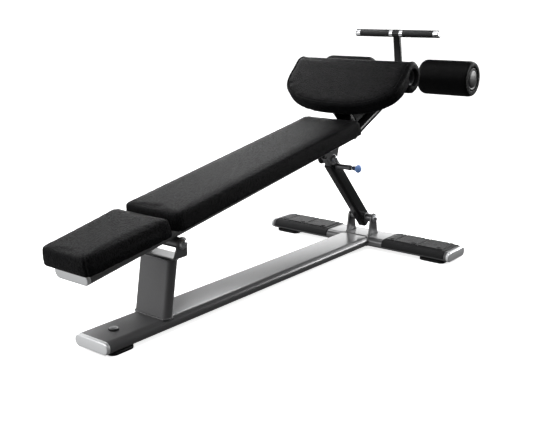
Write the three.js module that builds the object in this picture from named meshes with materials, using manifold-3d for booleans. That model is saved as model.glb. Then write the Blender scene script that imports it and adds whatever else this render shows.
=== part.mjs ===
// An adjustable decline bench: a T-shaped base of flat-oval tube, a bench frame that tilts on a front
// post, a telescoping strut that sets the tilt, a thigh pad, two foam foot rollers and a T-handle.
// Millimetres, +Z up. +X runs from the low head end to the foot rollers; right is -Y and left is +Y.
import * as THREE from 'three';
import { mergeVertices } from 'three/addons/utils/BufferGeometryUtils.js';
import Module from 'manifold-3d';

const wasm = await Module();
wasm.setup();

// ---------------------------------------------------------------- driving dimensions
const GAP = 0.3; // air between pieces that touch
const SIDES = [['left', 1], ['right', -1]];
const ROUND = 18; // facets round a turned piece

const TUBE = { width: 140, depth: 38, wall: 3 }; // flat-oval frame tube
const FOOT_HEIGHT = 11;
const BASE_Z = FOOT_HEIGHT + TUBE.depth / 2; // centre height of the base tubes
const BASE_TOP = FOOT_HEIGHT + TUBE.depth;
const CROSS_X = 1425; // cross tube's axis, from the base tube's open front end
const CROSS_HALF = 412;
const CAP_LENGTH = 12;

const PIVOT = new THREE.Vector3(287, 0, 272); // main pivot of the bench frame
const STRUT_FOOT = new THREE.Vector3(1420, 0, 115); // lower pivot of the strut
const INCLINE = THREE.MathUtils.degToRad(10); // bench slope at rest
const STRUT_HEAD = { along: 880.6, below: 27.3 }; // upper strut pivot, along and below the bench axis

const BENCH = { start: -340, bend: 985, lift: 36.5 }; // bench tube's ends and centre above the pivot
const SUPPORT = { angle: THREE.MathUtils.degToRad(15.2), length: 498 }; // upper tube past the bend
const PAD = { bottom: 55.8, top: 115.5, board: 12, inset: 16, bevel: 12 };
const HEAD_PAD = { start: -370, end: -58, lowHalf: 96, highHalf: 117 };
const LONG_PAD = { start: -40, end: 946, lowHalf: 117, highHalf: 126 };

const THIGH = {
  rollAlong: 1106, rollAbove: 237, slope: THREE.MathUtils.degToRad(35.2),
  rollRadius: 60, hollow: 24, thickness: 55, shell: 4, curlEnd: THREE.MathUtils.degToRad(-168),
  halfWidth: 254, lower: 199, shoulder: 60, roundness: 2.4,
};
const ROLLER = { along: 1427, radius: 69, inner: 121, outer: 339, edge: 20, core: 17, capRadius: 43 };
const AXLE_RADIUS = 12.5;
const HANDLE = { along: 1441, above: 326, half: 193, hub: 15, collar: 31, cap: 168, radius: 15, bar: 12 };

const OUTER = { depth: 54, width: 40, corner: 11, wall: 3, below: 24, above: 350 }; // strut's outer tube
const INNER = { depth: 42, width: 30, corner: 8, wall: 3, bottom: 40, eye: 16 }; // strut's inner tube
const PIN = { along: 336, radius: 5, pitch: 34, holes: 6, pull: 12 };

// ---------------------------------------------------------------- finishes
/** One finish: colour, roughness and metalness. */
function finish(color, roughness, metalness = 0) {
  return new THREE.MeshStandardMaterial({ color, roughness, metalness });
}
const GRAPHITE = finish(0x2c2d30, 0.38, 0.55);
const GRAPHITE_LIGHT = finish(0x77797c, 0.35, 0.6);
const SILVER = finish(0xc9cacc, 0.35, 0.7);
const CHROME = finish(0xe4e6e8, 0.08, 1);
const STEEL = finish(0xa8abae, 0.3, 1);
const RUBBER = finish(0x1b1b1c, 0.8);
const PLASTIC = finish(0x232427, 0.5);
const VINYL = finish(0x121315, 0.5);
const FOAM = finish(0x0e0e10, 0.65);
const PLYWOOD = finish(0x8a6a45, 0.7);
const BLUE = finish(0x3f68c8, 0.35);
const BRONZE = finish(0x9a7a48, 0.4, 0.8);

// ---------------------------------------------------------------- solids and booleans
/** The solid that a closed geometry bounds. */
function solidOf(geometry) {
  const bare = geometry.clone();
  for (const name of Object.keys(bare.attributes)) {
    if (name !== 'position') bare.deleteAttribute(name);
  }
  const merged = mergeVertices(bare, 1e-4);
  return new wasm.Manifold(new wasm.Mesh({
    numProp: 3,
    vertProperties: new Float32Array(merged.attributes.position.array),
    triVerts: new Uint32Array(merged.index.array),
  }));
}

/** The geometry of a solid's surface. */
function geometryOf(solid) {
  const mesh = solid.getMesh();
  const geometry = new THREE.BufferGeometry();
  geometry.setAttribute('position', new THREE.BufferAttribute(new Float32Array(mesh.vertProperties), 3));
  geometry.setIndex(new THREE.BufferAttribute(new Uint32Array(mesh.triVerts), 1));
  return geometry;
}

/** A body with each cutter taken out of it. */
function cut(body, ...cutters) {
  return geometryOf(cutters.reduce((solid, cutter) => solid.subtract(solidOf(cutter)), solidOf(body)));
}

/** Several bodies that overlap, made into one. */
function join(body, ...others) {
  return geometryOf(others.reduce((solid, other) => solid.add(solidOf(other)), solidOf(body)));
}

/** The part of a body that lies inside a region. */
function keep(body, region) {
  return geometryOf(solidOf(body).intersect(solidOf(region)));
}

// ---------------------------------------------------------------- shapes
/** A flat oval outline: width along the shape's Y, depth along its X. */
function flatOval(width, depth) {
  const radius = depth / 2;
  const reach = width / 2 - radius;
  const shape = new THREE.Shape();
  shape.absarc(0, reach, radius, 0, Math.PI, false);
  shape.absarc(0, -reach, radius, Math.PI, 2 * Math.PI, false);
  return shape;
}

/** A rectangle with round corners, centred: size x along X, size y along Y. */
function roundRect(x, y, corner) {
  const a = x / 2 - corner;
  const b = y / 2 - corner;
  const shape = new THREE.Shape();
  shape.absarc(a, b, corner, 0, Math.PI / 2, false);
  shape.absarc(-a, b, corner, Math.PI / 2, Math.PI, false);
  shape.absarc(-a, -b, corner, Math.PI, 1.5 * Math.PI, false);
  shape.absarc(a, -b, corner, 1.5 * Math.PI, 2 * Math.PI, false);
  return shape;
}

/** An outline with a concentric hole through it. */
function ring(outline, hole) {
  outline.holes.push(hole);
  return outline;
}

/** A shape drawn out along +Z from 0. steps is half the number of facets in each arc. */
function extrudeZ(shape, length, steps = 3) {
  return new THREE.ExtrudeGeometry(shape, { depth: length, bevelEnabled: false, curveSegments: steps });
}

/** A shape drawn out along +X from 0, with its own X pointing down. */
function extrudeX(shape, length, steps) {
  return extrudeZ(shape, length, steps).rotateY(Math.PI / 2);
}

/** A shape in the XZ plane drawn out evenly to both sides along Y. */
function extrudeY(shape, thickness, steps) {
  return extrudeZ(shape, thickness, steps).rotateX(Math.PI / 2).translate(0, thickness / 2, 0);
}

/** A block with rounded outline and bevelled faces, drawn out from bottom to top along Z. */
function cushionBlock(shape, bottom, top, bevel, steps = 2) {
  const settings = {
    depth: top - bottom - 2 * bevel, bevelThickness: bevel, bevelSize: bevel, bevelOffset: -bevel,
    bevelSegments: steps, curveSegments: 2,
  };
  return new THREE.ExtrudeGeometry(shape, settings).translate(0, 0, bottom + bevel);
}

/** A solid of revolution about Y. The profile is a list of [radius, y]. */
function turned(profile, segments = ROUND) {
  return new THREE.LatheGeometry(profile.map(([r, y]) => new THREE.Vector2(r, y)), segments);
}

/** A rod along Y from one end to the other. */
function rod(radius, from, to, segments = ROUND) {
  return new THREE.CylinderGeometry(radius, radius, to - from, segments).translate(0, (from + to) / 2, 0);
}

/** A pipe along Y from one end to the other. */
function pipe(radius, bore, from, to, segments = ROUND) {
  return turned([[bore, from], [radius, from], [radius, to], [bore, to], [bore, from]], segments);
}

/** A box between two corners. */
function box(low, high) {
  const size = high.map((value, i) => value - low[i]);
  const centre = high.map((value, i) => (value + low[i]) / 2);
  return new THREE.BoxGeometry(...size).translate(...centre);
}

/** Flat-oval frame tube along +X from 0, open at both ends. */
function frameTube(length) {
  const inner = flatOval(TUBE.width - 2 * TUBE.wall, TUBE.depth - 2 * TUBE.wall);
  return extrudeX(ring(flatOval(TUBE.width, TUBE.depth), inner), length);
}

/** The outside of the frame tube, grown by a margin, along +X from 0. */
function frameBar(length, margin) {
  return extrudeX(flatOval(TUBE.width + 2 * margin, TUBE.depth + 2 * margin), length);
}

/** A tube end cap whose face looks along -X: a soft-edged face on a plug that fills the tube's mouth. */
function tubeCap() {
  const soft = 4;
  const face = cushionBlock(flatOval(TUBE.width, TUBE.depth), -CAP_LENGTH, CAP_LENGTH, soft);
  const front = keep(face.rotateY(Math.PI / 2), box([-50, -100, -50], [-GAP, 100, 50]));
  const slack = TUBE.wall + GAP;
  const plug = frameBar(24, -slack).translate(-CAP_LENGTH / 2, 0, 0);
  return join(front, plug);
}

/** A plate ear in the XZ plane: a round eye on a foot that runs from one X to another at a lower Z. */
function earPlate(footFrom, footTo, footZ, eyeX, eyeZ, eyeRadius) {
  const shape = new THREE.Shape();
  shape.moveTo(footFrom, footZ);
  shape.lineTo(footTo, footZ);
  shape.lineTo(eyeX + eyeRadius, eyeZ);
  shape.absarc(eyeX, eyeZ, eyeRadius, 0, Math.PI, false);
  shape.lineTo(footFrom, footZ);
  return shape;
}

/** A bolt along Y: a low domed head beyond `head` and a shank that ends at `tip`. */
function domedBolt(shank, headRadius, head, tip) {
  const direction = Math.sign(head - tip);
  const profile = [[0, tip * direction], [shank, tip * direction], [shank, head * direction],
    [headRadius, head * direction], [headRadius, head * direction + 3]];
  for (const step of [0.45, 0.8]) {
    const angle = step * Math.PI / 2;
    profile.push([headRadius * Math.cos(angle), head * direction + 3 + 6 * Math.sin(angle)]);
  }
  profile.push([0, head * direction + 9]);
  const bolt = turned(profile);
  return direction > 0 ? bolt : bolt.rotateX(Math.PI);
}

/** A domed nut on the -Y side: its flat face at `face`, with a blind hole for the bolt's end. */
function domedNut(bore, radius, face, depth) {
  const profile = [[0, depth], [bore, depth], [bore, 0], [radius, 0], [radius, 3]];
  for (const step of [0.4, 0.75]) {
    const angle = step * Math.PI / 2;
    profile.push([radius * Math.cos(angle), 3 + (depth + 1) * Math.sin(angle)]);
  }
  profile.push([0, depth + 4]);
  return turned(profile).rotateX(Math.PI).translate(0, face, 0);
}

// ---------------------------------------------------------------- assembly groups
const bench = new THREE.Group();

/** A child group placed in the XZ plane and tilted so that its +X end, or its top, moves as asked. */
function groupAt(parent, x, z, tilt) {
  const group = new THREE.Group();
  group.position.set(x, 0, z);
  group.rotation.y = tilt;
  parent.add(group);
  return group;
}

/** Adds a named piece to a group at a position. */
function piece(parent, name, geometry, material, x = 0, y = 0, z = 0) {
  const mesh = new THREE.Mesh(geometry, material);
  mesh.name = name;
  mesh.position.set(x, y, z);
  parent.add(mesh);
  return mesh;
}

// ---------------------------------------------------------------- base frame
/** The T-shaped base: main tube, cross tube, end caps, plug and rubber feet. */
function buildBase(base) {
  const crossBar = frameBar(2 * TUBE.width, GAP).translate(-TUBE.width, 0, 0).rotateZ(Math.PI / 2);
  const plugX = 75;
  const plugHole = rod(10 + GAP, 0, 40).rotateX(Math.PI / 2).translate(plugX, 0, 0);
  const mainTube = cut(frameTube(CROSS_X), crossBar.translate(CROSS_X, 0, 0), plugHole);
  piece(base, 'base_main_tube', mainTube, GRAPHITE, 0, 0, BASE_Z);
  piece(base, 'base_front_cap', tubeCap(), SILVER, 0, 0, BASE_Z);
  const plug = turned([[0, -6], [10, -6], [10, GAP], [16, GAP], [16, 2], [13, 5], [6, 6.2], [0, 6.5]]);
  piece(base, 'base_top_plug', plug.rotateX(Math.PI / 2), RUBBER, plugX, 0, BASE_TOP);

  const crossTube = frameTube(2 * CROSS_HALF).translate(-CROSS_HALF, 0, 0).rotateZ(Math.PI / 2);
  piece(base, 'base_cross_tube', crossTube, GRAPHITE, CROSS_X, 0, BASE_Z);
  for (const [side, sign] of SIDES) {
    const cap = tubeCap().rotateZ(-sign * Math.PI / 2);
    piece(base, `cross_cap_${side}`, cap, SILVER, CROSS_X, sign * CROSS_HALF, BASE_Z);
    const foot = cushionBlock(roundRect(126, 106, 20), 0, FOOT_HEIGHT - GAP, 3);
    piece(base, `cross_foot_${side}`, foot, RUBBER, CROSS_X, sign * 345, 0);
  }
  const frontFoot = cushionBlock(roundRect(90, 126, 16), 0, FOOT_HEIGHT - GAP, 3);
  piece(base, 'front_foot', frontFoot, RUBBER, 58, 0, 0);
}

/** A rubber step cover that saddles the cross tube: a short tread and two long ones on its top. */
function stepCover() {
  const length = 270;
  const skin = 3;
  const shell = extrudeX(flatOval(TUBE.width + 2 * skin, TUBE.depth + 2 * skin), length);
  const inside = frameBar(length + 2, GAP).translate(-1, 0, 0);
  const below = box([-1, -100, -60], [length + 1, 100, -7]);
  const saddle = cut(shell, inside, below);
  const treads = [[16, 118], [121, 219], [222, 266]].map(([from, to]) => {
    const slab = cushionBlock(roundRect(to - from, 108, 4), 0, 5, 1.5, 1);
    return slab.translate((from + to) / 2, 0, TUBE.depth / 2 + 1.2);
  });
  const recesses = [36, 140, 238].flatMap((along) => [-1, 1].map((side) => (
    rod(5, -2, 2, 10).rotateX(Math.PI / 2).translate(along, side * 44, TUBE.depth / 2 + 7))));
  return cut(join(saddle, ...treads), ...recesses).rotateZ(Math.PI / 2);
}

/** The leaning post, its yoke and the main pivot's bolt and nut. */
function buildPost(base) {
  const lean = THREE.MathUtils.degToRad(9.6);
  const yoke = { foot: 226, plate: 6, wall: 6, from: 250, to: 305, eye: 20 };
  const footX = 215 + TUBE.depth / 2 / Math.cos(lean);
  const column = frameTube(260).translate(-30, 0, 0).rotateY(-Math.PI / 2 + lean);
  const span = box([0, -100, BASE_TOP + GAP], [500, 100, yoke.foot - GAP]);
  const post = keep(column.translate(footX, 0, BASE_TOP), span);
  piece(base, 'front_post', post, GRAPHITE);

  const half = TUBE.width / 2 + 2 + yoke.wall;
  const plate = box([yoke.from, -half, yoke.foot], [yoke.to, half, yoke.foot + yoke.plate]);
  const ears = SIDES.map(([, sign]) => {
    const shape = earPlate(yoke.from, yoke.to, yoke.foot, PIVOT.x, PIVOT.z, yoke.eye);
    return extrudeY(shape, yoke.wall).translate(0, sign * (half - yoke.wall / 2), 0);
  });
  const hole = rod(10 + GAP, -100, 100).translate(PIVOT.x, 0, PIVOT.z);
  piece(base, 'post_yoke', cut(join(plate, ...ears), hole), GRAPHITE);
  const bolt = domedBolt(10, 15, half + GAP, -half - 9);
  piece(base, 'main_pivot_bolt', bolt, STEEL, PIVOT.x, 0, PIVOT.z);
  const nut = domedNut(10 + GAP, 15, -half - GAP, 9.5);
  piece(base, 'main_pivot_nut', nut, STEEL, PIVOT.x, 0, PIVOT.z);
}

/** The two ears that carry the strut's lower pivot, with its bolt and nut. */
function buildStrutFoot(base) {
  const wall = 8;
  const outside = 56;
  const hole = rod(8 + GAP, -100, 100).translate(STRUT_FOOT.x, 0, STRUT_FOOT.z);
  for (const [side, sign] of SIDES) {
    const shape = earPlate(1390, 1452, BASE_TOP + GAP, STRUT_FOOT.x, STRUT_FOOT.z, 20);
    const ear = extrudeY(shape, wall).translate(0, sign * (outside - wall / 2), 0);
    piece(base, `strut_ear_${side}`, cut(ear, hole), GRAPHITE);
  }
  const bolt = domedBolt(8, 13, outside + GAP, -outside - 8);
  piece(base, 'strut_lower_bolt', bolt, STEEL, STRUT_FOOT.x, 0, STRUT_FOOT.z);
  const nut = domedNut(8 + GAP, 13, -outside - GAP, 8.5);
  piece(base, 'strut_lower_nut', nut, STEEL, STRUT_FOOT.x, 0, STRUT_FOOT.z);
}

// ---------------------------------------------------------------- strut
/** A rectangular tube with round corners along +Z from one height to another. */
function strutTube(size, from, to) {
  const hole = roundRect(size.depth - 2 * size.wall, size.width - 2 * size.wall, size.corner - size.wall);
  return extrudeZ(ring(roundRect(size.depth, size.width, size.corner), hole), to - from).translate(0, 0, from);
}

/** The strut's outer tube with its lower sleeve, plug and guide bush. */
function buildStrutOuter(strut) {
  const sleeveRadius = 16;
  piece(strut, 'strut_lower_sleeve', pipe(sleeveRadius, 8 + GAP, -47.5, 47.5), GRAPHITE_LIGHT);
  const sleeveHole = rod(sleeveRadius + GAP, -60, 60);
  const pinHole = rod(PIN.radius + GAP, -60, 0, 12).translate(0, 0, PIN.along);
  const tube = strutTube(OUTER, -OUTER.below, OUTER.above);
  piece(strut, 'strut_outer_tube', cut(tube, sleeveHole, pinHole), GRAPHITE);

  const slack = 2 * (OUTER.wall + GAP);
  const corner = OUTER.corner - OUTER.wall - GAP;
  const plugStem = extrudeZ(roundRect(OUTER.depth - slack, OUTER.width - slack, corner), 8);
  const plugFace = cushionBlock(roundRect(OUTER.depth, OUTER.width, OUTER.corner), -6, -GAP, 2);
  const plug = join(plugStem.translate(0, 0, -2), plugFace);
  piece(strut, 'strut_bottom_plug', plug, PLASTIC, 0, 0, -OUTER.below);

  const mouth = roundRect(INNER.depth + 2 * GAP, INNER.width + 2 * GAP, INNER.corner + GAP);
  const liner = extrudeZ(roundRect(OUTER.depth - slack, OUTER.width - slack, corner), 36);
  const lip = extrudeZ(roundRect(OUTER.depth, OUTER.width, OUTER.corner), 4);
  const sleeve = join(liner.translate(0, 0, OUTER.above - 32), lip.translate(0, 0, OUTER.above + GAP));
  const passage = extrudeZ(mouth, 60).translate(0, 0, OUTER.above - 40);
  piece(strut, 'strut_guide_bush', cut(sleeve, passage, pinHole), PLASTIC);
}

/** The spring pin that locks the strut, with its housing, spring and knob, all along -Y. */
function buildPopPin(strut) {
  const wallFace = OUTER.width / 2 + GAP;
  const housing = { end: 86, bore: 7, radius: 9.5 };
  const shell = turned([[housing.bore, wallFace], [housing.radius + 2, wallFace], [housing.radius, wallFace + 3],
    [housing.radius, housing.end], [4.3, housing.end], [4.3, housing.end - 4], [housing.bore, housing.end - 4],
    [housing.bore, wallFace]]);
  piece(strut, 'pop_pin_housing', shell.rotateX(Math.PI), GRAPHITE_LIGHT, 0, 0, PIN.along);
  const springLength = 16;
  const springEnd = housing.end - 4 - GAP;
  const spring = pipe(6.5, 4.6, springEnd - springLength, springEnd);
  piece(strut, 'pop_pin_spring', spring.rotateX(Math.PI), STEEL, 0, 0, PIN.along);
  const shoulder = springEnd - springLength - PIN.pull - GAP;
  const nose = INNER.width / 2 + GAP;
  const plungerEnd = housing.end + 28;
  const plunger = turned([[0, nose], [3.5, nose], [PIN.radius, nose + 2], [PIN.radius, shoulder - 4],
    [6.5, shoulder - 4], [6.5, shoulder], [4, shoulder], [4, plungerEnd], [0, plungerEnd]]);
  piece(strut, 'pop_pin_plunger', plunger.rotateX(Math.PI), STEEL, 0, 0, PIN.along);
  const knobFrom = housing.end + 7;
  const knob = turned([[0, plungerEnd + GAP], [4.3, plungerEnd + GAP], [4.3, knobFrom], [8, knobFrom],
    [8.5, knobFrom + 10], [13, knobFrom + 15], [15.5, knobFrom + 22], [14.5, knobFrom + 28],
    [9.5, knobFrom + 33], [0, knobFrom + 35]]);
  piece(strut, 'pop_pin_knob', knob.rotateX(Math.PI), BLUE, 0, 0, PIN.along);
}

/** The strut's sliding inner tube: a row of pin holes and a wide eye at its head. */
function buildStrutInner(strut, length) {
  const end = length + INNER.depth / 2;
  const tube = strutTube(INNER, INNER.bottom, end);
  const outline = new THREE.Shape();
  outline.moveTo(-INNER.depth, INNER.bottom - 1);
  outline.lineTo(INNER.depth, INNER.bottom - 1);
  outline.lineTo(INNER.depth / 2, length);
  outline.absarc(0, length, INNER.depth / 2, 0, Math.PI, false);
  const roundEnd = extrudeY(outline, 2 * INNER.width, 5);
  const eye = rod(INNER.eye, -40, 40).translate(0, 0, length);
  const holes = [];
  for (let i = 0; i < PIN.holes; i += 1) {
    holes.push(rod(PIN.radius + GAP, -40, 0, 12).translate(0, 0, PIN.along - i * PIN.pitch));
  }
  piece(strut, 'strut_inner_tube', cut(keep(tube, roundEnd), eye, ...holes), GRAPHITE_LIGHT);
}

// ---------------------------------------------------------------- bench frame
/** The bench tube, the upper support tube past its bend, and their caps. */
function buildBenchFrame(frame, support) {
  const far = 600;
  const mitre = box([0, -100, -far], [far, 100, far]).rotateY(-SUPPORT.angle / 2);
  const tube = frameTube(BENCH.bend - BENCH.start + 60).translate(BENCH.start - BENCH.bend, 0, 0);
  const lower = cut(tube, mitre.clone().translate(-GAP / 2, 0, 0));
  piece(frame, 'bench_tube', lower, GRAPHITE, BENCH.bend, 0, BENCH.lift);
  piece(frame, 'bench_head_cap', tubeCap(), SILVER, BENCH.start, 0, BENCH.lift);

  const region = box([0, -100, -far], [far, 100, far]).rotateY(SUPPORT.angle / 2).translate(GAP / 2, 0, 0);
  const upper = keep(frameTube(SUPPORT.length + 60).translate(-60, 0, 0), region);
  const axleHole = rod(AXLE_RADIUS + GAP, -100, 100).translate(axleAlong(), 0, 0);
  piece(support, 'support_tube', cut(upper, axleHole), GRAPHITE);
  piece(support, 'support_end_cap', tubeCap().rotateZ(Math.PI), PLASTIC, SUPPORT.length, 0, 0);
}

/** Distance from the bend to the roller axle along the support tube. */
function axleAlong() {
  return (ROLLER.along - BENCH.bend) / Math.cos(SUPPORT.angle);
}

/** The main pivot's sleeve under the bench tube, with a flanged bush in each end. */
function buildMainPivot(frame) {
  const sleeve = { radius: 17, bore: 13, half: 68 };
  piece(frame, 'main_pivot_sleeve', pipe(sleeve.radius, sleeve.bore, -sleeve.half, sleeve.half), GRAPHITE);
  for (const [side, sign] of SIDES) {
    const bush = turned([[10.3, 46], [sleeve.bore - GAP, 46], [sleeve.bore - GAP, sleeve.half + GAP],
      [16, sleeve.half + GAP], [16, 71.4], [10.3, 71.4], [10.3, 46]]);
    piece(frame, `main_bush_${side}`, sign > 0 ? bush : bush.rotateX(Math.PI), BRONZE);
  }
}

/** The bracket under the bench tube that carries the strut's upper pivot, with its bolt and nut. */
function buildUpperBracket(frame) {
  const top = BENCH.lift - TUBE.depth / 2 - GAP;
  const half = 27.5;
  const wall = 6;
  const plate = box([-48, -half, top - wall], [48, half, top]);
  const hole = rod(7 + GAP, -60, 60).translate(0, 0, -STRUT_HEAD.below);
  const ears = SIDES.map(([, sign]) => {
    const shape = new THREE.Shape();
    shape.moveTo(48, top);
    shape.lineTo(-48, top);
    shape.lineTo(-28, -STRUT_HEAD.below);
    shape.absarc(0, -STRUT_HEAD.below, 28, Math.PI, 2 * Math.PI, false);
    shape.lineTo(48, top);
    return extrudeY(shape, wall).translate(0, sign * (half - wall / 2), 0);
  });
  const bracket = cut(join(plate, ...ears), hole);
  piece(frame, 'upper_bracket', bracket, GRAPHITE, STRUT_HEAD.along, 0, 0);
  const bolt = domedBolt(7, 12, half + GAP, -half - 8);
  piece(frame, 'upper_bolt', bolt, STEEL, STRUT_HEAD.along, 0, -STRUT_HEAD.below);
  const nut = domedNut(7 + GAP, 12, -half - GAP, 8.5);
  piece(frame, 'upper_nut', nut, STEEL, STRUT_HEAD.along, 0, -STRUT_HEAD.below);
}

/** A tapered pad outline with round corners, shrunk by a margin. */
function padOutline(pad, margin, corner) {
  const from = pad.start + margin;
  const to = pad.end - margin;
  const low = pad.lowHalf - margin;
  const high = pad.highHalf - margin;
  const shape = new THREE.Shape();
  shape.absarc(to - corner, high - corner, corner, 0, Math.PI / 2, false);
  shape.absarc(from + corner, low - corner, corner, Math.PI / 2, Math.PI, false);
  shape.absarc(from + corner, -low + corner, corner, Math.PI, 1.5 * Math.PI, false);
  shape.absarc(to - corner, -high + corner, corner, 1.5 * Math.PI, 2 * Math.PI, false);
  return shape;
}

/** A pad: a plywood board on the tube, and a cushion that caps it and wraps its edges. */
function buildPad(frame, name, pad) {
  const board = extrudeZ(padOutline(pad, PAD.inset, 12), PAD.board).translate(0, 0, PAD.bottom);
  piece(frame, `${name}_board`, board, PLYWOOD);
  const block = cushionBlock(padOutline(pad, 0, 22), PAD.bottom, PAD.top, PAD.bevel);
  const pocket = extrudeZ(padOutline(pad, PAD.inset - GAP, 12), PAD.board + GAP + 5);
  piece(frame, `${name}_cushion`, cut(block, pocket.translate(0, 0, PAD.bottom - 5)), VINYL);
}

// ---------------------------------------------------------------- thigh pad
/** Half the thigh pad's width at a distance along its face below the roll's crown. */
function thighHalfWidth(s) {
  const reach = THIGH.lower - THIGH.shoulder;
  const t = Math.min(1, Math.max(0, (-s - THIGH.shoulder) / reach));
  return THIGH.halfWidth * (1 - t ** THIGH.roundness) ** (1 / THIGH.roundness);
}

/** The pad's D outline in its own face: straight across the roll and round at the lower edge. */
function thighOutline(margin) {
  const steps = 10;
  const left = [];
  for (let i = 0; i <= steps; i += 1) {
    const angle = (i / steps) * Math.PI / 2;
    const s = -THIGH.shoulder - (THIGH.lower - THIGH.shoulder - margin) * Math.sin(angle);
    const scale = 1 - margin / THIGH.halfWidth;
    left.push([s, scale * thighHalfWidth(Math.min(-THIGH.shoulder, s * (1 + margin / THIGH.lower)))]);
  }
  const shape = new THREE.Shape();
  const reach = THIGH.rollRadius + 20;
  shape.moveTo(reach, THIGH.halfWidth - margin);
  left.forEach(([s, half]) => shape.lineTo(s, half));
  left.reverse().slice(1).forEach(([s, half]) => shape.lineTo(s, -half));
  shape.lineTo(reach, -(THIGH.halfWidth - margin));
  return shape;
}

/** A J-shaped section: a flat run that turns over a roll, between two radii of that roll. */
function thighSection(outer, inner, tail, lower, curlEnd) {
  const shape = new THREE.Shape();
  shape.moveTo(-lower, outer);
  shape.absarc(0, 0, outer, Math.PI / 2, curlEnd, true);
  shape.absarc(0, 0, inner, curlEnd, Math.PI / 2 + tail, false);
  shape.lineTo(-lower, inner * Math.sin(Math.PI / 2 + tail));
  return shape;
}

/** The thigh pad's cushion, its curved backing shell and the bracket that holds them. */
function buildThighPad(frame, support) {
  const pad = groupAt(frame, THIGH.rollAlong, THIGH.rollAbove, -THIGH.slope);
  const underside = THIGH.rollRadius - THIGH.thickness;
  const cushionInner = THIGH.hollow + THIGH.shell + 3 * GAP;
  const tail = Math.acos(underside / cushionInner);
  const section = thighSection(THIGH.rollRadius, cushionInner, tail, THIGH.lower, THIGH.curlEnd);
  const run = extrudeY(section, 2 * THIGH.halfWidth + 10, 9);
  const prism = extrudeZ(thighOutline(0), 400).translate(0, 0, -200);
  piece(pad, 'thigh_pad_cushion', keep(run, prism), VINYL);

  const shellOuter = THIGH.hollow + THIGH.shell;
  const shellTop = underside - GAP;
  const shellTail = Math.acos(shellTop / shellOuter);
  const innerTail = Math.acos((shellTop - THIGH.shell) / THIGH.hollow);
  const plate = new THREE.Shape();
  const reach = THIGH.lower - 22;
  plate.moveTo(-reach, shellTop - THIGH.shell);
  plate.absarc(0, 0, THIGH.hollow, Math.PI / 2 + innerTail, THIGH.curlEnd + 0.12, true);
  plate.absarc(0, 0, shellOuter, THIGH.curlEnd + 0.12, Math.PI / 2 + shellTail, false);
  plate.lineTo(-reach, shellTop);
  const shellRun = extrudeY(plate, 2 * THIGH.halfWidth, 9);
  const shellPrism = extrudeZ(thighOutline(16), 400).translate(0, 0, -200);
  piece(pad, 'thigh_pad_shell', keep(shellRun, shellPrism), GRAPHITE_LIGHT);

  buildThighBracket(pad, support, shellTop - THIGH.shell - GAP);
}

/** Two gussets and a top plate that stand on the support tube and carry the thigh pad's shell. */
function buildThighBracket(pad, support, plateTop) {
  const wall = 6;
  const spread = 44;
  const plate = box([-168, -spread - wall, plateTop - wall], [-72, spread + wall, plateTop]);
  const gussets = SIDES.map(([, sign]) => {
    const shape = new THREE.Shape();
    shape.moveTo(-160, plateTop);
    shape.lineTo(-150, -190);
    shape.lineTo(-70, -190);
    shape.lineTo(-72, plateTop);
    return extrudeY(shape, wall).translate(0, sign * spread, 0);
  });
  bench.updateMatrixWorld(true);
  const tubeZone = box([-60, -100, -400], [700, 100, TUBE.depth / 2 + GAP]);
  tubeZone.applyMatrix4(new THREE.Matrix4().copy(pad.matrixWorld).invert().multiply(support.matrixWorld));
  piece(pad, 'thigh_pad_bracket', cut(join(plate, ...gussets), tubeZone), GRAPHITE);
}

// ---------------------------------------------------------------- foot rollers
/** The axle across the support tube, and on each side a foam roller on a core with an end cap. */
function buildRollers(support) {
  const along = axleAlong();
  const axleEnd = ROLLER.outer - 10;
  piece(support, 'roller_axle', pipe(AXLE_RADIUS, 9, -axleEnd, axleEnd), GRAPHITE_LIGHT, along);
  const recess = ROLLER.outer - 8;
  for (const [side, sign] of SIDES) {
    const turn = (geometry) => (sign > 0 ? geometry : geometry.rotateX(Math.PI));
    const profile = [[ROLLER.core + GAP, ROLLER.inner]];
    for (const [centre, start] of [[ROLLER.inner + ROLLER.edge, -90], [ROLLER.outer - ROLLER.edge, 0]]) {
      for (let i = 0; i <= 3; i += 1) {
        const angle = THREE.MathUtils.degToRad(start + i * 30);
        const radius = ROLLER.radius - ROLLER.edge + ROLLER.edge * Math.cos(angle);
        profile.push([radius, centre + ROLLER.edge * Math.sin(angle)]);
      }
    }
    profile.push([ROLLER.capRadius + 2, ROLLER.outer], [ROLLER.capRadius + 2, recess]);
    profile.push([ROLLER.core + GAP, recess], [ROLLER.core + GAP, ROLLER.inner]);
    piece(support, `roller_foam_${side}`, turn(turned(profile, 28)), FOAM, along);
    const core = pipe(ROLLER.core, AXLE_RADIUS + GAP, ROLLER.inner - 4, recess);
    piece(support, `roller_core_${side}`, turn(core), PLASTIC, along);
    const cap = turned([[0, recess + GAP], [ROLLER.capRadius, recess + GAP], [ROLLER.capRadius, recess + 4],
      [ROLLER.capRadius - 5, recess + 6], [ROLLER.capRadius - 8, recess + 5.4],
      [ROLLER.capRadius - 20, recess + 9.5], [0, recess + 11.5]], 24);
    piece(support, `roller_cap_${side}`, turn(cap), PLASTIC, along);
  }
}

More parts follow.
